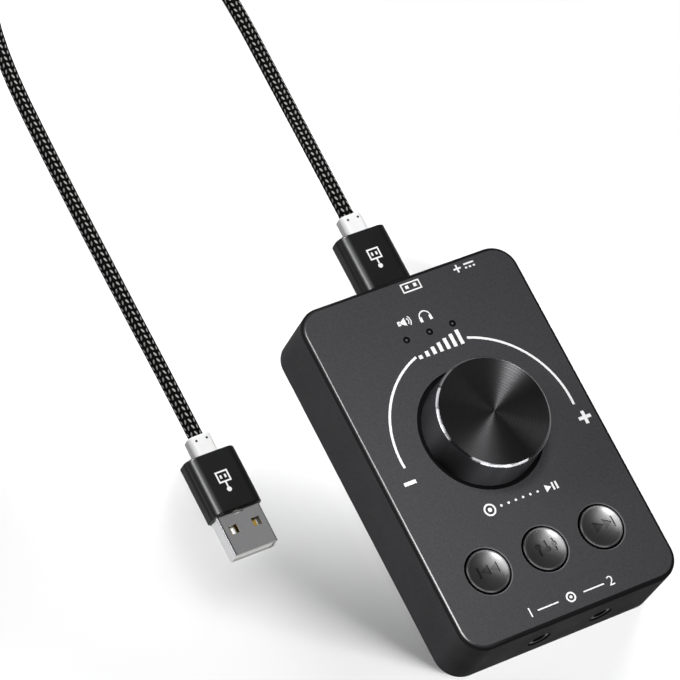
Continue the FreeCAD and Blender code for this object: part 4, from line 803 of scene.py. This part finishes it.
def cord_line():
    """Draw the whole course as one smooth spline and read its line, in metres."""
    course = [*NEAR_ROUTE, *coil_points(), *reversed(FAR_ROUTE)]
    curve = bpy.data.curves.new("cord_course", "CURVE")
    curve.dimensions = "3D"
    spline = curve.splines.new("NURBS")
    spline.points.add(len(course) - 1)
    for point, place in zip(spline.points, course):
        point.co = (*(x * MM for x in place), 1.0)
    spline.order_u = 3
    spline.use_endpoint_u = True
    spline.resolution_u = 12
    course_object = bpy.data.objects.new("cord_course", curve)
    bpy.context.collection.objects.link(course_object)
    mesh = bpy.data.meshes.new_from_object(course_object)
    line = [point.co.copy() for point in mesh.vertices]
    bpy.data.meshes.remove(mesh)
    bpy.data.objects.remove(course_object)
    bpy.data.curves.remove(curve)
    return line


def even_steps(line, step):
    """Walk along a line of points and return points at even steps, ends included."""
    total = sum((b - a).length for a, b in zip(line, line[1:]))
    count = round(total / step)
    places, walked, index = [line[0]], 0.0, 0
    for number in range(1, count):
        wanted = total * number / count
        while walked + (line[index + 1] - line[index]).length < wanted:
            walked += (line[index + 1] - line[index]).length
            index += 1
        share = (wanted - walked) / (line[index + 1] - line[index]).length
        places.append(line[index].lerp(line[index + 1], share))
    return [*places, line[-1]], total / count


# The strap round the coil, in metres: its cloth, its wide flat bends and the end that laps over it.
STRAP_THICK = 0.6 * MM
STRAP_BEND = 2.5 * MM
STRAP_BREAK = 0.12 * MM
LAP_LIFT = 0.55 * MM
LAP_SHARE = 0.62
LAP_NARROWER = 0.3 * MM
LAP_THICK = 0.5 * MM
LAP_CORNER = 2.2 * MM


def strap_loop(low, high, bend, name):
    """Bend a strip of cloth round a box: its four edges rounded, its ends open."""
    rest_tools()
    bpy.ops.mesh.primitive_cube_add(size=1.0, location=(low + high) / 2)
    loop = bpy.context.object
    loop.scale = high - low
    seat(loop)
    set_mode("EDIT")
    pick("EDGE", lambda edge: abs((edge.verts[1].co - edge.verts[0].co).normalized().x) > SQUARE)
    bpy.ops.mesh.bevel(offset=bend, segments=7, affect="EDGES")
    pick("FACE", lambda face: abs(face.normal.x) > SQUARE)
    bpy.ops.mesh.delete(type="FACE")
    return take(name)


class KNOB_OT_tie(bpy.types.Operator):
    """Wrap the strap round the coil and lap its end over it"""
    bl_idname = "knob.tie"
    bl_label = "Cord tie"

    def execute(self, context):
        low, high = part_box("cord_tie")
        strap = strap_loop(low, high, STRAP_BEND, "strap")
        use_modifier(strap, "SOLIDIFY", thickness=STRAP_THICK, offset=-1.0, use_even_offset=True)

        # The end comes up the outer side and lies over the top, a little narrower and rounded off.
        room = Vector((-LAP_NARROWER, LAP_LIFT, LAP_LIFT))
        lap = strap_loop(low - room, high + room, STRAP_BEND + LAP_LIFT, "lap")
        end = low.y + (high.y - low.y) * (1 - LAP_SHARE)
        start = (low.z + high.z) / 2
        set_mode("EDIT")
        for place, way in (((0.0, end, 0.0), (0.0, 1.0, 0.0)), ((0.0, 0.0, start), (0.0, 0.0, 1.0))):
            pick_all()
            bpy.ops.mesh.bisect(plane_co=place, plane_no=way, clear_inner=True)
        pick("VERT", lambda point: abs(point.co.y - end) < 1e-6)
        bpy.ops.mesh.bevel(offset=LAP_CORNER, segments=6, affect="VERTICES")
        set_mode("OBJECT")
        use_modifier(lap, "SOLIDIFY", thickness=LAP_THICK, offset=-1.0, use_even_offset=True)
        join([strap, lap])
        use_modifier(strap, "BEVEL", width=STRAP_BREAK, segments=2, limit_method="ANGLE",
                     angle_limit=math.radians(50))
        strap.name = strap.data.name = "cord_tie_strap"
        smooth(strap, 35)
        paint(strap, "tie_fabric")
        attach(strap, "cable")
        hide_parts("cord_tie")
        return {"FINISHED"}


class KNOB_OT_cord(bpy.types.Operator):
    """Lay the braided cord from plug to plug, with its spare length wound into the coil"""
    bl_idname = "knob.cord"
    bl_label = "Cord"

    def execute(self, context):
        sizes = context.scene.knob_sizes
        places, step = even_steps(cord_line(), RING_STEP)
        ways = [(b - a).normalized() for a, b in zip(places, places[1:])]
        ways.append(ways[-1])
        radius = sizes.cord_diameter / 2
        mesh = bmesh.new()
        course = mesh.loops.layers.uv.new("course")
        side = Vector((1.0, 0.0, 0.0))
        rings = []
        for place, way in zip(places, ways):
            side = (side - way * side.dot(way)).normalized()
            other = way.cross(side)
            rings.append([mesh.verts.new(place + (side * math.cos(a) + other * math.sin(a)) * radius)
                          for a in (2 * math.pi * i / RING_SIDES for i in range(RING_SIDES))])
        for index, (ring, after) in enumerate(zip(rings, rings[1:])):
            for i in range(RING_SIDES):
                j = (i + 1) % RING_SIDES
                face = mesh.faces.new((ring[i], ring[j], after[j], after[i]))
                face.smooth = True
                corners = ((index, i), (index, i + 1), (index + 1, i + 1), (index + 1, i))
                for loop, (u, v) in zip(face.loops, corners):
                    loop[course].uv = (u * step, v / RING_SIDES)
        mesh.faces.new(reversed(rings[0]))
        mesh.faces.new(rings[-1])
        data = bpy.data.meshes.new("cord")
        mesh.to_mesh(data)
        mesh.free()
        cord = bpy.data.objects.new("cord", data)
        context.collection.objects.link(cord)
        paint(cord, "cord_braid")
        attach(cord, "cable")
        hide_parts("cord_near", "cord_far", "cord_coil")
        on_cord = [node for name, node in frame["nodes"].items()
                   if name.startswith(("near_plug", "far_plug"))]
        on_cord.append(bpy.data.objects["cord_tie_strap"])
        return {"FINISHED"}


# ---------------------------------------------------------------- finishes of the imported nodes

class KNOB_OT_finishes(bpy.types.Operator):
    """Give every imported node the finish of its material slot"""
    bl_idname = "knob.finishes"
    bl_label = "Finishes"

    def execute(self, context):
        for part in frame["record"]["subparts"]:
            paint(frame["nodes"][part["node"]], part["material_slot"])
        return {"FINISHED"}


# ---------------------------------------------------------------- printed signs

def bars(*rows):
    return [("bar", *row) for row in rows]


# Each sign's strokes in millimetres and degrees, on the housing's top.
ARC_CENTRE = (1.22, 3.28)
ARC_RADIUS = 24.6
ARC_LINE = 0.62
SIGNS = {
    "print_arc_left": [("sweep", *ARC_CENTRE, ARC_RADIUS, ARC_LINE, 108.5, 183.9)],
    "print_arc_right": [("sweep", *ARC_CENTRE, ARC_RADIUS, ARC_LINE, -3.9, 73.2)],
    "print_less": [("bar", -23.9, -2.3, 3.3, 0.95)],
    "print_more": bars((26.75, -2.4, 3.5, 0.9), (26.75, -1.3, 0.9, 1.3), (26.75, -3.5, 0.9, 1.3)),
    "print_levels": bars(*((-5.4 + 2.0 * i, 25.7 + 0.25 * (i + 2), 1.0, 0.5 * (i + 2)) for i in range(7))),
    "print_speaker": [("bar", -6.45, 35.95, 0.8, 1.2), ("disc", -5.2, 35.95, 1.3, 3, 90.0),
                      ("sweep", -4.9, 35.95, 1.15, 0.28, -42, 42),
                      ("sweep", -4.9, 35.95, 1.75, 0.28, -42, 42)],
    "print_headphones": [("sweep", 0.85, 35.6, 1.45, 0.32, 0, 180), ("bar", -0.5, 35.0, 0.75, 1.3),
                         ("bar", 2.2, 35.0, 0.75, 1.3)],
    "print_connector": bars((1.35, 45.1, 5.4, 0.35), (1.35, 42.9, 5.4, 0.35), (-1.18, 44.0, 0.35, 1.85),
                            (3.88, 44.0, 0.35, 1.85), (0.2, 44.1, 0.9, 0.9), (2.5, 44.1, 0.9, 0.9)),
    "print_power": bars((15.0, 44.25, 2.1, 0.45), (15.0, 44.9, 0.45, 0.85), (15.0, 43.6, 0.45, 0.85),
                        (18.5, 44.75, 2.9, 0.45), (17.35, 43.75, 0.6, 0.45), (18.5, 43.75, 0.6, 0.45),
                        (19.65, 43.75, 0.6, 0.45)),
    "print_press": [("sweep", -8.3, -15.5, 1.4, 0.42, 0, 360), ("disc", -8.3, -15.5, 0.55),
                    *(("disc", -5.0 + 2.1 * i, -15.5, 0.32, 16) for i in range(6))],
    "print_play": [("disc", 8.3, -15.6, 1.15, 3, -90.0), ("bar", 9.95, -15.6, 0.5, 2.0),
                   ("bar", 10.95, -15.6, 0.5, 2.0)],
    "print_audio": [("digit", -11.6, -42.6, 2.5, "1"), ("bar", -6.6, -42.6, 6.0, 0.35),
                    ("sweep", 0.0, -42.6, 1.1, 0.42, 0, 360), ("disc", 0.0, -42.6, 0.4, 16),
                    ("bar", 6.6, -42.6, 6.0, 0.35), ("digit", 11.6, -42.6, 2.5, "2")],
}
# The sign on both plugs, in millimetres from the grip's middle: a plug's mouth with its two contacts.
PLUG_SIGN = [*bars((0.0, 2.2, 3.4, 0.4), (0.0, -0.4, 3.4, 0.4), (-1.5, 0.9, 0.4, 2.2), (1.5, 0.9, 0.4, 2.2),
                   (-0.6, 0.9, 0.5, 0.9), (0.6, 0.9, 0.5, 0.9), (0.0, -1.3, 0.4, 1.4)),
             ("disc", 0.0, -2.55, 0.62, 24)]


def print_sign(strokes, name, place, body):
    """Print one sign, a little sunk into what it is printed on."""
    ink = bpy.context.scene.knob_sizes.ink_height
    sign = lay_strokes(strokes, name)
    sign.location = place
    sign.location.z -= ink / 3
    seat(sign)
    use_modifier(sign, "SOLIDIFY", thickness=ink * 4 / 3, offset=1.0)
    paint(sign, "ink")
    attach(sign, body)


class KNOB_OT_signs(bpy.types.Operator):
    """Print the signs on the housing's top"""
    bl_idname = "knob.signs"
    bl_label = "Printed signs"

    def execute(self, context):
        for name, strokes in SIGNS.items():
            print_sign(strokes, name, (0.0, 0.0, HOUSING_TOP), "housing")
        return {"FINISHED"}


class KNOB_OT_plug_signs(bpy.types.Operator):
    """Print a small plug on the grips of both plugs"""
    bl_idname = "knob.plug_signs"
    bl_label = "Signs on the plugs"

    def execute(self, context):
        for name in ("near", "far"):
            print_sign(PLUG_SIGN, f"print_{name}_plug", on_top(f"{name}_plug_body"), "cable")
        return {"FINISHED"}


# ---------------------------------------------------------------- dial

DIAL_SIDES = 256
DIAL_TOP_RADIUS = 14.62 * MM
DIAL_CHAMFER = 0.62 * MM
DIAL_WALL = 2.4 * MM
DIAL_ROOF = 1.6 * MM
DIAL_BREAK = 0.07 * MM


class KNOB_OT_dial(bpy.types.Operator):
    """Turn the dial's cap so finely that its chamfer mirrors the lamps in one clean arc"""
    bl_idname = "knob.dial"
    bl_label = "Dial"

    def execute(self, context):
        low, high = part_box("dial_cap")
        x, y = DIAL_AXIS.x, DIAL_AXIS.y
        base = (high.x - low.x) / 2
        shoulder = high.z - DIAL_CHAMFER
        start_turned(DIAL_SIDES, base, (x, y, low.z), shoulder - low.z)
        share = DIAL_TOP_RADIUS / base
        bpy.ops.transform.resize(value=(share, share, 1.0), center_override=(x, y, shoulder))
        bpy.ops.mesh.inset(thickness=DIAL_CHAMFER, depth=DIAL_CHAMFER)
        pick("FACE", lambda face: face.normal.z < -SQUARE)
        bpy.ops.mesh.inset(thickness=DIAL_WALL, depth=0.0)
        raise_face(high.z - DIAL_ROOF - low.z)
        pick("EDGE", lambda edge: min(end.co.z for end in edge.verts) > shoulder - low.z - LEVEL
             and abs(edge.verts[0].co.z - edge.verts[1].co.z) < LEVEL)
        bpy.ops.mesh.bevel(offset=DIAL_BREAK, segments=2, affect="EDGES")
        dial = take("dial_turned")
        seat(dial)
        smooth(dial, 30)
        paint(dial, "dial_metal")
        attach(dial, "dial")
        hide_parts("dial_cap")
        return {"FINISHED"}


# ---------------------------------------------------------------- buttons

# The signs in the buttons, in millimetres from each button's middle.
BUTTON_SIGNS = {
    "previous": [("bar", -2.95, 0.0, 0.55, 2.9), ("disc", -0.95, 0.0, 1.65, 3, 90.0),
                 ("disc", 1.6, 0.0, 1.65, 3, 90.0)],
    "mode": [("disc", -2.2, 0.7, 0.75, 20), ("bar", -2.2, -0.9, 0.55, 1.6),
             ("disc", 0.0, -0.6, 0.75, 20), ("bar", 0.0, 0.95, 0.55, 1.5),
             ("disc", 2.2, 0.2, 0.75, 20), ("bar", 2.2, -1.15, 0.55, 1.1), ("bar", 2.2, 1.35, 0.55, 0.7)],
    "next": [("bar", 2.95, 0.0, 0.55, 2.9), ("disc", 0.95, 0.0, 1.65, 3, -90.0),
             ("disc", -1.6, 0.0, 1.65, 3, -90.0)],
}
DOME_RINGS = 14
DOME_SIDES = 96


def crowned_cap(name):
    """Model a button cap: a flat rim that rises into a crown, and the wall below."""
    low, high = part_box(f"button_{name}")
    middle = (low + high) / 2
    dome_edge = BUTTON_OUTER - BUTTON_RIM
    rim_height = high.z - BUTTON_DOME
    top = BUTTON_OUTER - BUTTON_BREAK
    start_turned(DOME_SIDES, BUTTON_OUTER, (middle.x, middle.y, low.z), rim_height - BUTTON_BREAK - low.z)
    pick("FACE", lambda face: abs(face.normal.z) > SQUARE and face.calc_center_median().z > 0.5 * MM)
    bpy.ops.mesh.inset(thickness=BUTTON_BREAK, depth=BUTTON_BREAK)
    bpy.ops.mesh.inset(thickness=top - dome_edge, depth=0.0)
    for ring in range(DOME_RINGS):
        radius = dome_edge * (1 - ring / DOME_RINGS)
        inner = dome_edge * (1 - (ring + 1) / DOME_RINGS)
        if ring == DOME_RINGS - 1:
            # The last ring leaves a small flat tip.
            inner = dome_edge / DOME_RINGS / 3
        rise = math.sqrt(BUTTON_BALL ** 2 - inner ** 2) - math.sqrt(BUTTON_BALL ** 2 - radius ** 2)
        bpy.ops.mesh.inset(thickness=radius - inner, depth=rise)
    cap = take(f"button_cap_{name}")
    seat(cap)
    return cap


class KNOB_OT_buttons(bpy.types.Operator):
    """Model the three crowned caps, with their signs cut into them"""
    bl_idname = "knob.buttons"
    bl_label = "Buttons"

    def execute(self, context):
        depth = context.scene.knob_sizes.engraving
        for name, strokes in BUTTON_SIGNS.items():
            cap = crowned_cap(name)
            cutter = lay_strokes(strokes, f"cutter_{name}")
            cutter.location = on_top(f"button_{name}", -BUTTON_DOME)
            seat(cutter)
            use_modifier(cutter, "SOLIDIFY", thickness=2 * BUTTON_DOME, offset=1.0)
            # A ball under the crown takes the cutter's lower end off, so the signs are evenly deep.
            rest_tools()
            bpy.ops.mesh.primitive_uv_sphere_add(segments=DOME_SIDES, ring_count=DOME_SIDES,
                                                 radius=BUTTON_BALL - depth,
                                                 location=on_top(f"button_{name}", -BUTTON_BALL))
            ball = context.object
            use_modifier(cutter, "BOOLEAN", object=ball, operation="DIFFERENCE", solver="MANIFOLD")
            use_modifier(cap, "BOOLEAN", object=cutter, operation="DIFFERENCE", solver="MANIFOLD")
            for tool in (cutter, ball):
                bpy.data.objects.remove(tool)
            smooth(cap, 25)
            paint(cap, "button_plastic")
            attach(cap, f"{name}_button")
            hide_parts(f"button_{name}")
        return {"FINISHED"}


# ---------------------------------------------------------------- studio

FLOOR_HALF = 1.6
# Lamps that look at the origin, by what they light: azimuth and elevation in degrees, power in watts,
# and for some their own distance, width and height in metres. A screened lamp lights its pieces alone.
SOFT_BOX = (1.25, 0.5, 0.42)
LAMPS = {
    "dial": {
        "back_low": (33, 22, 16.14, 1.3, 0.16, 0.24), "right_near": (345, 36, 2.94), "right": (0, 40, 1.19),
        "back_soft": (60, 40, 1.01), "far_low": (90, 14, 1.49), "over": (0, 89.9, 1.4),
        "far_left_low": (118, 13, 6.0, 1.25, 0.6, 0.42), "near_left": (240, 40, 4.67),
        "near_high": (270, 64, 5.14), "left_far_strip": (150, 20, 10.7, 1.2, 0.7, 0.3),
        "left_strip": (168, 24, 3.7, 1.2, 0.5, 0.3), "near_strip": (262, 24, 12.0, 1.2, 0.9, 0.2),
        "near_right_strip": (292, 18, 6.4, 1.2, 0.7, 0.2)},
    "buttons": {
        "back_low": (31, 20, 7.76, 1.3, 0.16, 0.24), "right_soft": (12, 28, 3.41),
        "back_soft": (31, 48, 1.6, 1.25, 0.5, 0.5), "rim_near": (212, 31, 2.4, 1.2, 1.2, 0.3),
        "rim_left": (150, 22, 1.5, 1.2, 0.8, 0.3), "rim_front": (268, 23, 1.5, 1.2, 0.8, 0.3)},
    "cable": {"far_high": (90, 50, 14.42), "over_left": (150, 64, 3.8)},
    "shell": {"sky": (31.5, 59, 0.36, 1.25, 0.6, 0.6), "lip": (297, 16, 4.6, 1.25, 0.5, 0.3),
              "left": (162, 26, 1.7, 1.25, 0.4, 0.3)},
    "blade": {"over": (0, 89.9, 17.0, 1.25, 0.3, 0.3), "front": (290, 22, 10.0, 1.25, 0.4, 0.3)},
    "housing": {"edge": (112, 71, 4.4, 1.2, 0.3, 0.2), "left_strip": (150, 22, 4.3, 1.2, 0.5, 0.3),
                "front_strip": (305, 15, 0.5, 1.25, 0.5, 0.3)},
    "prints": {"over": (0, 89.9, 3.5)},
    "ground": {"near_right_low": (312, 14, 52.0, 1.25, 0.5, 0.4),
               "right_low": (330, 18, 7.1, 1.25, 0.5, 0.4)},
    "floor": {"back_right_low": (45, 20, 12.0, 1.25, 0.5, 0.4)},
}
# Small lamps near the pieces, which look straight down: x, y, height and size in millimetres, and power
# in watts. Those on the paper take the housing's shadow off it where it stays white.
NEAR_LAMPS = {
    "corner": {"near": (-58, -17, 130, 60, 0.107)},
    "paper": {"left": (-150, -20, 45, 20, 0.008), "far_plug": (-70, 60, 45, 20, 0.0123),
              "cord": (-70, 160, 45, 20, 0.034), "beside": (-50, 40, 45, 20, 0.0155),
              "middle": (-10, 20, 45, 20, 0.029), "behind": (-10, 80, 45, 20, 0.014),
              "wide": (0, 0, 1250, 800, 0.35)},
}
WORLD_LEVEL = 0.1
WHITE = (1.0, 1.0, 1.0, 1.0)
PAPER = "#dcdcdc"
PAPER_BOUNCE = "#4c4c4c"
PAPER_MIDDLE = (-0.03, 0.02, 0.0)
PAPER_REACH = (0.11, 0.18)
# How the names of the pieces begin that each kind of lamp lights; all else is lit as the housing.
LIT = {
    "floor": ("studio_floor",), "ground": ("studio_floor",), "paper": ("studio_floor",),
    "dial": ("dial_turned",), "buttons": ("button_cap",),
    "shell": ("near_plug_shell", "far_plug_shell"),
    "blade": ("near_plug_core", "far_plug_core", "near_plug_contacts", "far_plug_contacts"),
    "cable": ("cord", "near_plug_body", "far_plug_body", "near_plug_collar", "far_plug_collar",
              "print_near", "print_far"),
}
# The pieces that cast no shadow for a kind of lamp: none from the cord on the paper, a faint one from
# the loose plug, and none from the dial in the soft light near the housing's corner.
SHADOWLESS = {
    "floor": ("cord", "studio_floor"), "ground": ("cord", "studio_floor", "far_plug"),
    "corner": ("dial_turned",),
}


class KNOB_OT_studio(bpy.types.Operator):
    """Set the pale floor, the white surroundings and the soft lamps"""
    bl_idname = "knob.studio"
    bl_label = "Studio"

    def execute(self, context):
        floor = self.lay_floor()
        self.light_world(context.scene)
        pieces = [piece for piece in context.scene.objects if piece.type == "MESH"]
        lit = {kind: self.gather(f"lit_{kind}", [piece for piece in pieces if piece.name.startswith(names)])
               for kind, names in LIT.items()}
        named = sum(LIT.values(), ())
        rest = [piece for piece in pieces if not piece.name.startswith(named)]
        lit["housing"] = lit["corner"] = self.gather("lit_housing", rest)
        lit["prints"] = self.gather("lit_prints", [piece for piece in rest
                                                   if piece.name.startswith("print_")])
        shading = {kind: self.gather(f"shading_{kind}", [piece for piece in pieces
                                                         if not piece.name.startswith(names)])
                   for kind, names in SHADOWLESS.items()}
        shading["paper"] = self.gather("shading_none", [floor])
        for kind, lamps in LAMPS.items():
            for name, (azimuth, elevation, power, *box) in lamps.items():
                distance, *size = box or SOFT_BOX
                turn, rise = math.radians(azimuth), math.radians(elevation)
                place = distance * Vector((math.cos(turn) * math.cos(rise),
                                           math.sin(turn) * math.cos(rise), math.sin(rise)))
                self.hang(f"lamp_{kind}_{name}", place, -place, size, power, lit[kind], shading.get(kind))
        for kind, lamps in NEAR_LAMPS.items():
            for name, (x, y, height, size, power) in lamps.items():
                self.hang(f"lamp_{kind}_{name}", Vector((x, y, height)) * MM, Vector((0.0, 0.0, -1.0)),
                          (size * MM, size * MM), power, lit[kind], shading.get(kind))
        return {"FINISHED"}

    def lay_floor(self):
        rest_tools()
        bpy.ops.mesh.primitive_plane_add(size=2 * FLOOR_HALF, location=(0.0, 0.0, 0.0))
        floor = bpy.context.object
        floor.name = "studio_floor"
        finish, tree, shader, place = start_finish("paper_backdrop_white", from_hex(PAPER), 0.9)
        mottle(tree, shader, place, from_hex(PAPER), 60 * MM, 0.004)
        rays = add_node(tree, "LightPath")
        # To light that bounces off it the paper shows a dark grey, which keeps most of its own light off the
        # walls.
        shade = add_node(tree, "BsdfDiffuse", {"Color": (*from_hex(PAPER_BOUNCE), 1.0)})
        plain = add_node(tree, "MixShader", links={0: rays.outputs["Is Camera Ray"], 1: shade.outputs[0],
                                                   2: shader.outputs[0]})
        # Away from the knob the paper runs out into white surroundings, which metal shows too.
        white = add_node(tree, "Emission", {"Color": WHITE, "Strength": 1.0})
        reach = add_node(tree, "VectorMath", {"operation": "DISTANCE", 1: PAPER_MIDDLE}, {0: place})
        far = add_node(tree, "MapRange", {"interpolation_type": "SMOOTHSTEP", "From Min": PAPER_REACH[0],
                                          "From Max": PAPER_REACH[1]}, {"Value": reach.outputs["Value"]})
        seen = add_node(tree, "Math", {"operation": "MULTIPLY"},
                        {0: far.outputs["Result"], 1: rays.outputs["Is Camera Ray"]})
        open_white = add_node(tree, "Math", {"operation": "MAXIMUM"},
                              {0: seen.outputs[0], 1: rays.outputs["Is Glossy Ray"]})
        both = add_node(tree, "MixShader", links={0: open_white.outputs[0], 1: plain.outputs[0],
                                                  2: white.outputs[0]})
        tree.links.new(both.outputs[0], tree.nodes["Material Output"].inputs["Surface"])
        floor.data.materials.append(finish)
        return floor

    def light_world(self, scene):
        world = bpy.data.worlds.new("studio")
        scene.world = world
        world.use_nodes = True
        tree = world.node_tree
        sky = tree.nodes["Background"]
        rays = add_node(tree, "LightPath")
        seen = add_node(tree, "Math", {"operation": "MAXIMUM"},
                        {0: rays.outputs["Is Camera Ray"], 1: rays.outputs["Is Transmission Ray"]})
        level = add_node(tree, "MapRange", {"To Min": WORLD_LEVEL, "To Max": 1.0},
                         {"Value": seen.outputs[0]})
        sky.inputs["Color"].default_value = WHITE
        tree.links.new(level.outputs["Result"], sky.inputs["Strength"])

    def gather(self, name, pieces):
        """Make a list of pieces that lamps can light, or be stopped by, alone."""
        group = bpy.data.collections.new(name)
        for piece in pieces:
            group.objects.link(piece)
        return group

    def hang(self, name, place, way, size, power, lit, shading):
        """Hang one lamp, which lights its own pieces and is stopped by its own pieces."""
        rest_tools()
        bpy.ops.object.light_add(type="AREA", location=place,
                                 rotation=way.to_track_quat("-Z", "Y").to_euler())
        lamp = bpy.context.object
        lamp.name = name
        lamp.data.shape = "RECTANGLE"
        lamp.data.size, lamp.data.size_y = size
        lamp.data.energy = power
        lamp.light_linking.receiver_collection = lit
        if shading:
            lamp.light_linking.blocker_collection = shading


# ---------------------------------------------------------------- panel and main

STEPS = [KNOB_OT_camera, KNOB_OT_tie, KNOB_OT_cord, KNOB_OT_finishes, KNOB_OT_signs, KNOB_OT_plug_signs,
         KNOB_OT_dial, KNOB_OT_buttons, KNOB_OT_studio]


class KNOB_PT_dresser(bpy.types.Panel):
    """The sizes, colours and steps that dress the knob"""
    bl_idname = "KNOB_PT_dresser"
    bl_label = "Volume Knob"
    bl_space_type = "VIEW_3D"
    bl_region_type = "UI"
    bl_category = "Volume Knob"

    def draw(self, context):
        for group in (context.scene.knob_sizes, context.scene.knob_colours):
            for name in group.__annotations__:
                self.layout.prop(group, name)
        for step in STEPS:
            self.layout.operator(step.bl_idname)


def register():
    for kind in (KnobColours, KnobSizes, *STEPS, KNOB_PT_dresser):
        bpy.utils.register_class(kind)
    bpy.types.Scene.knob_sizes = PointerProperty(type=KnobSizes)
    bpy.types.Scene.knob_colours = PointerProperty(type=KnobColours)


def unregister():
    del bpy.types.Scene.knob_colours
    del bpy.types.Scene.knob_sizes
    for kind in (KNOB_PT_dresser, *reversed(STEPS), KnobSizes, KnobColours):
        bpy.utils.unregister_class(kind)


def main():
    register()
    bpy.context.scene.view_settings.view_transform = "Standard"
    for step in STEPS:
        group, name = step.bl_idname.split(".")
        getattr(getattr(bpy.ops, group), name)()
    rest_tools()


if __name__ == "__main__":
    main()
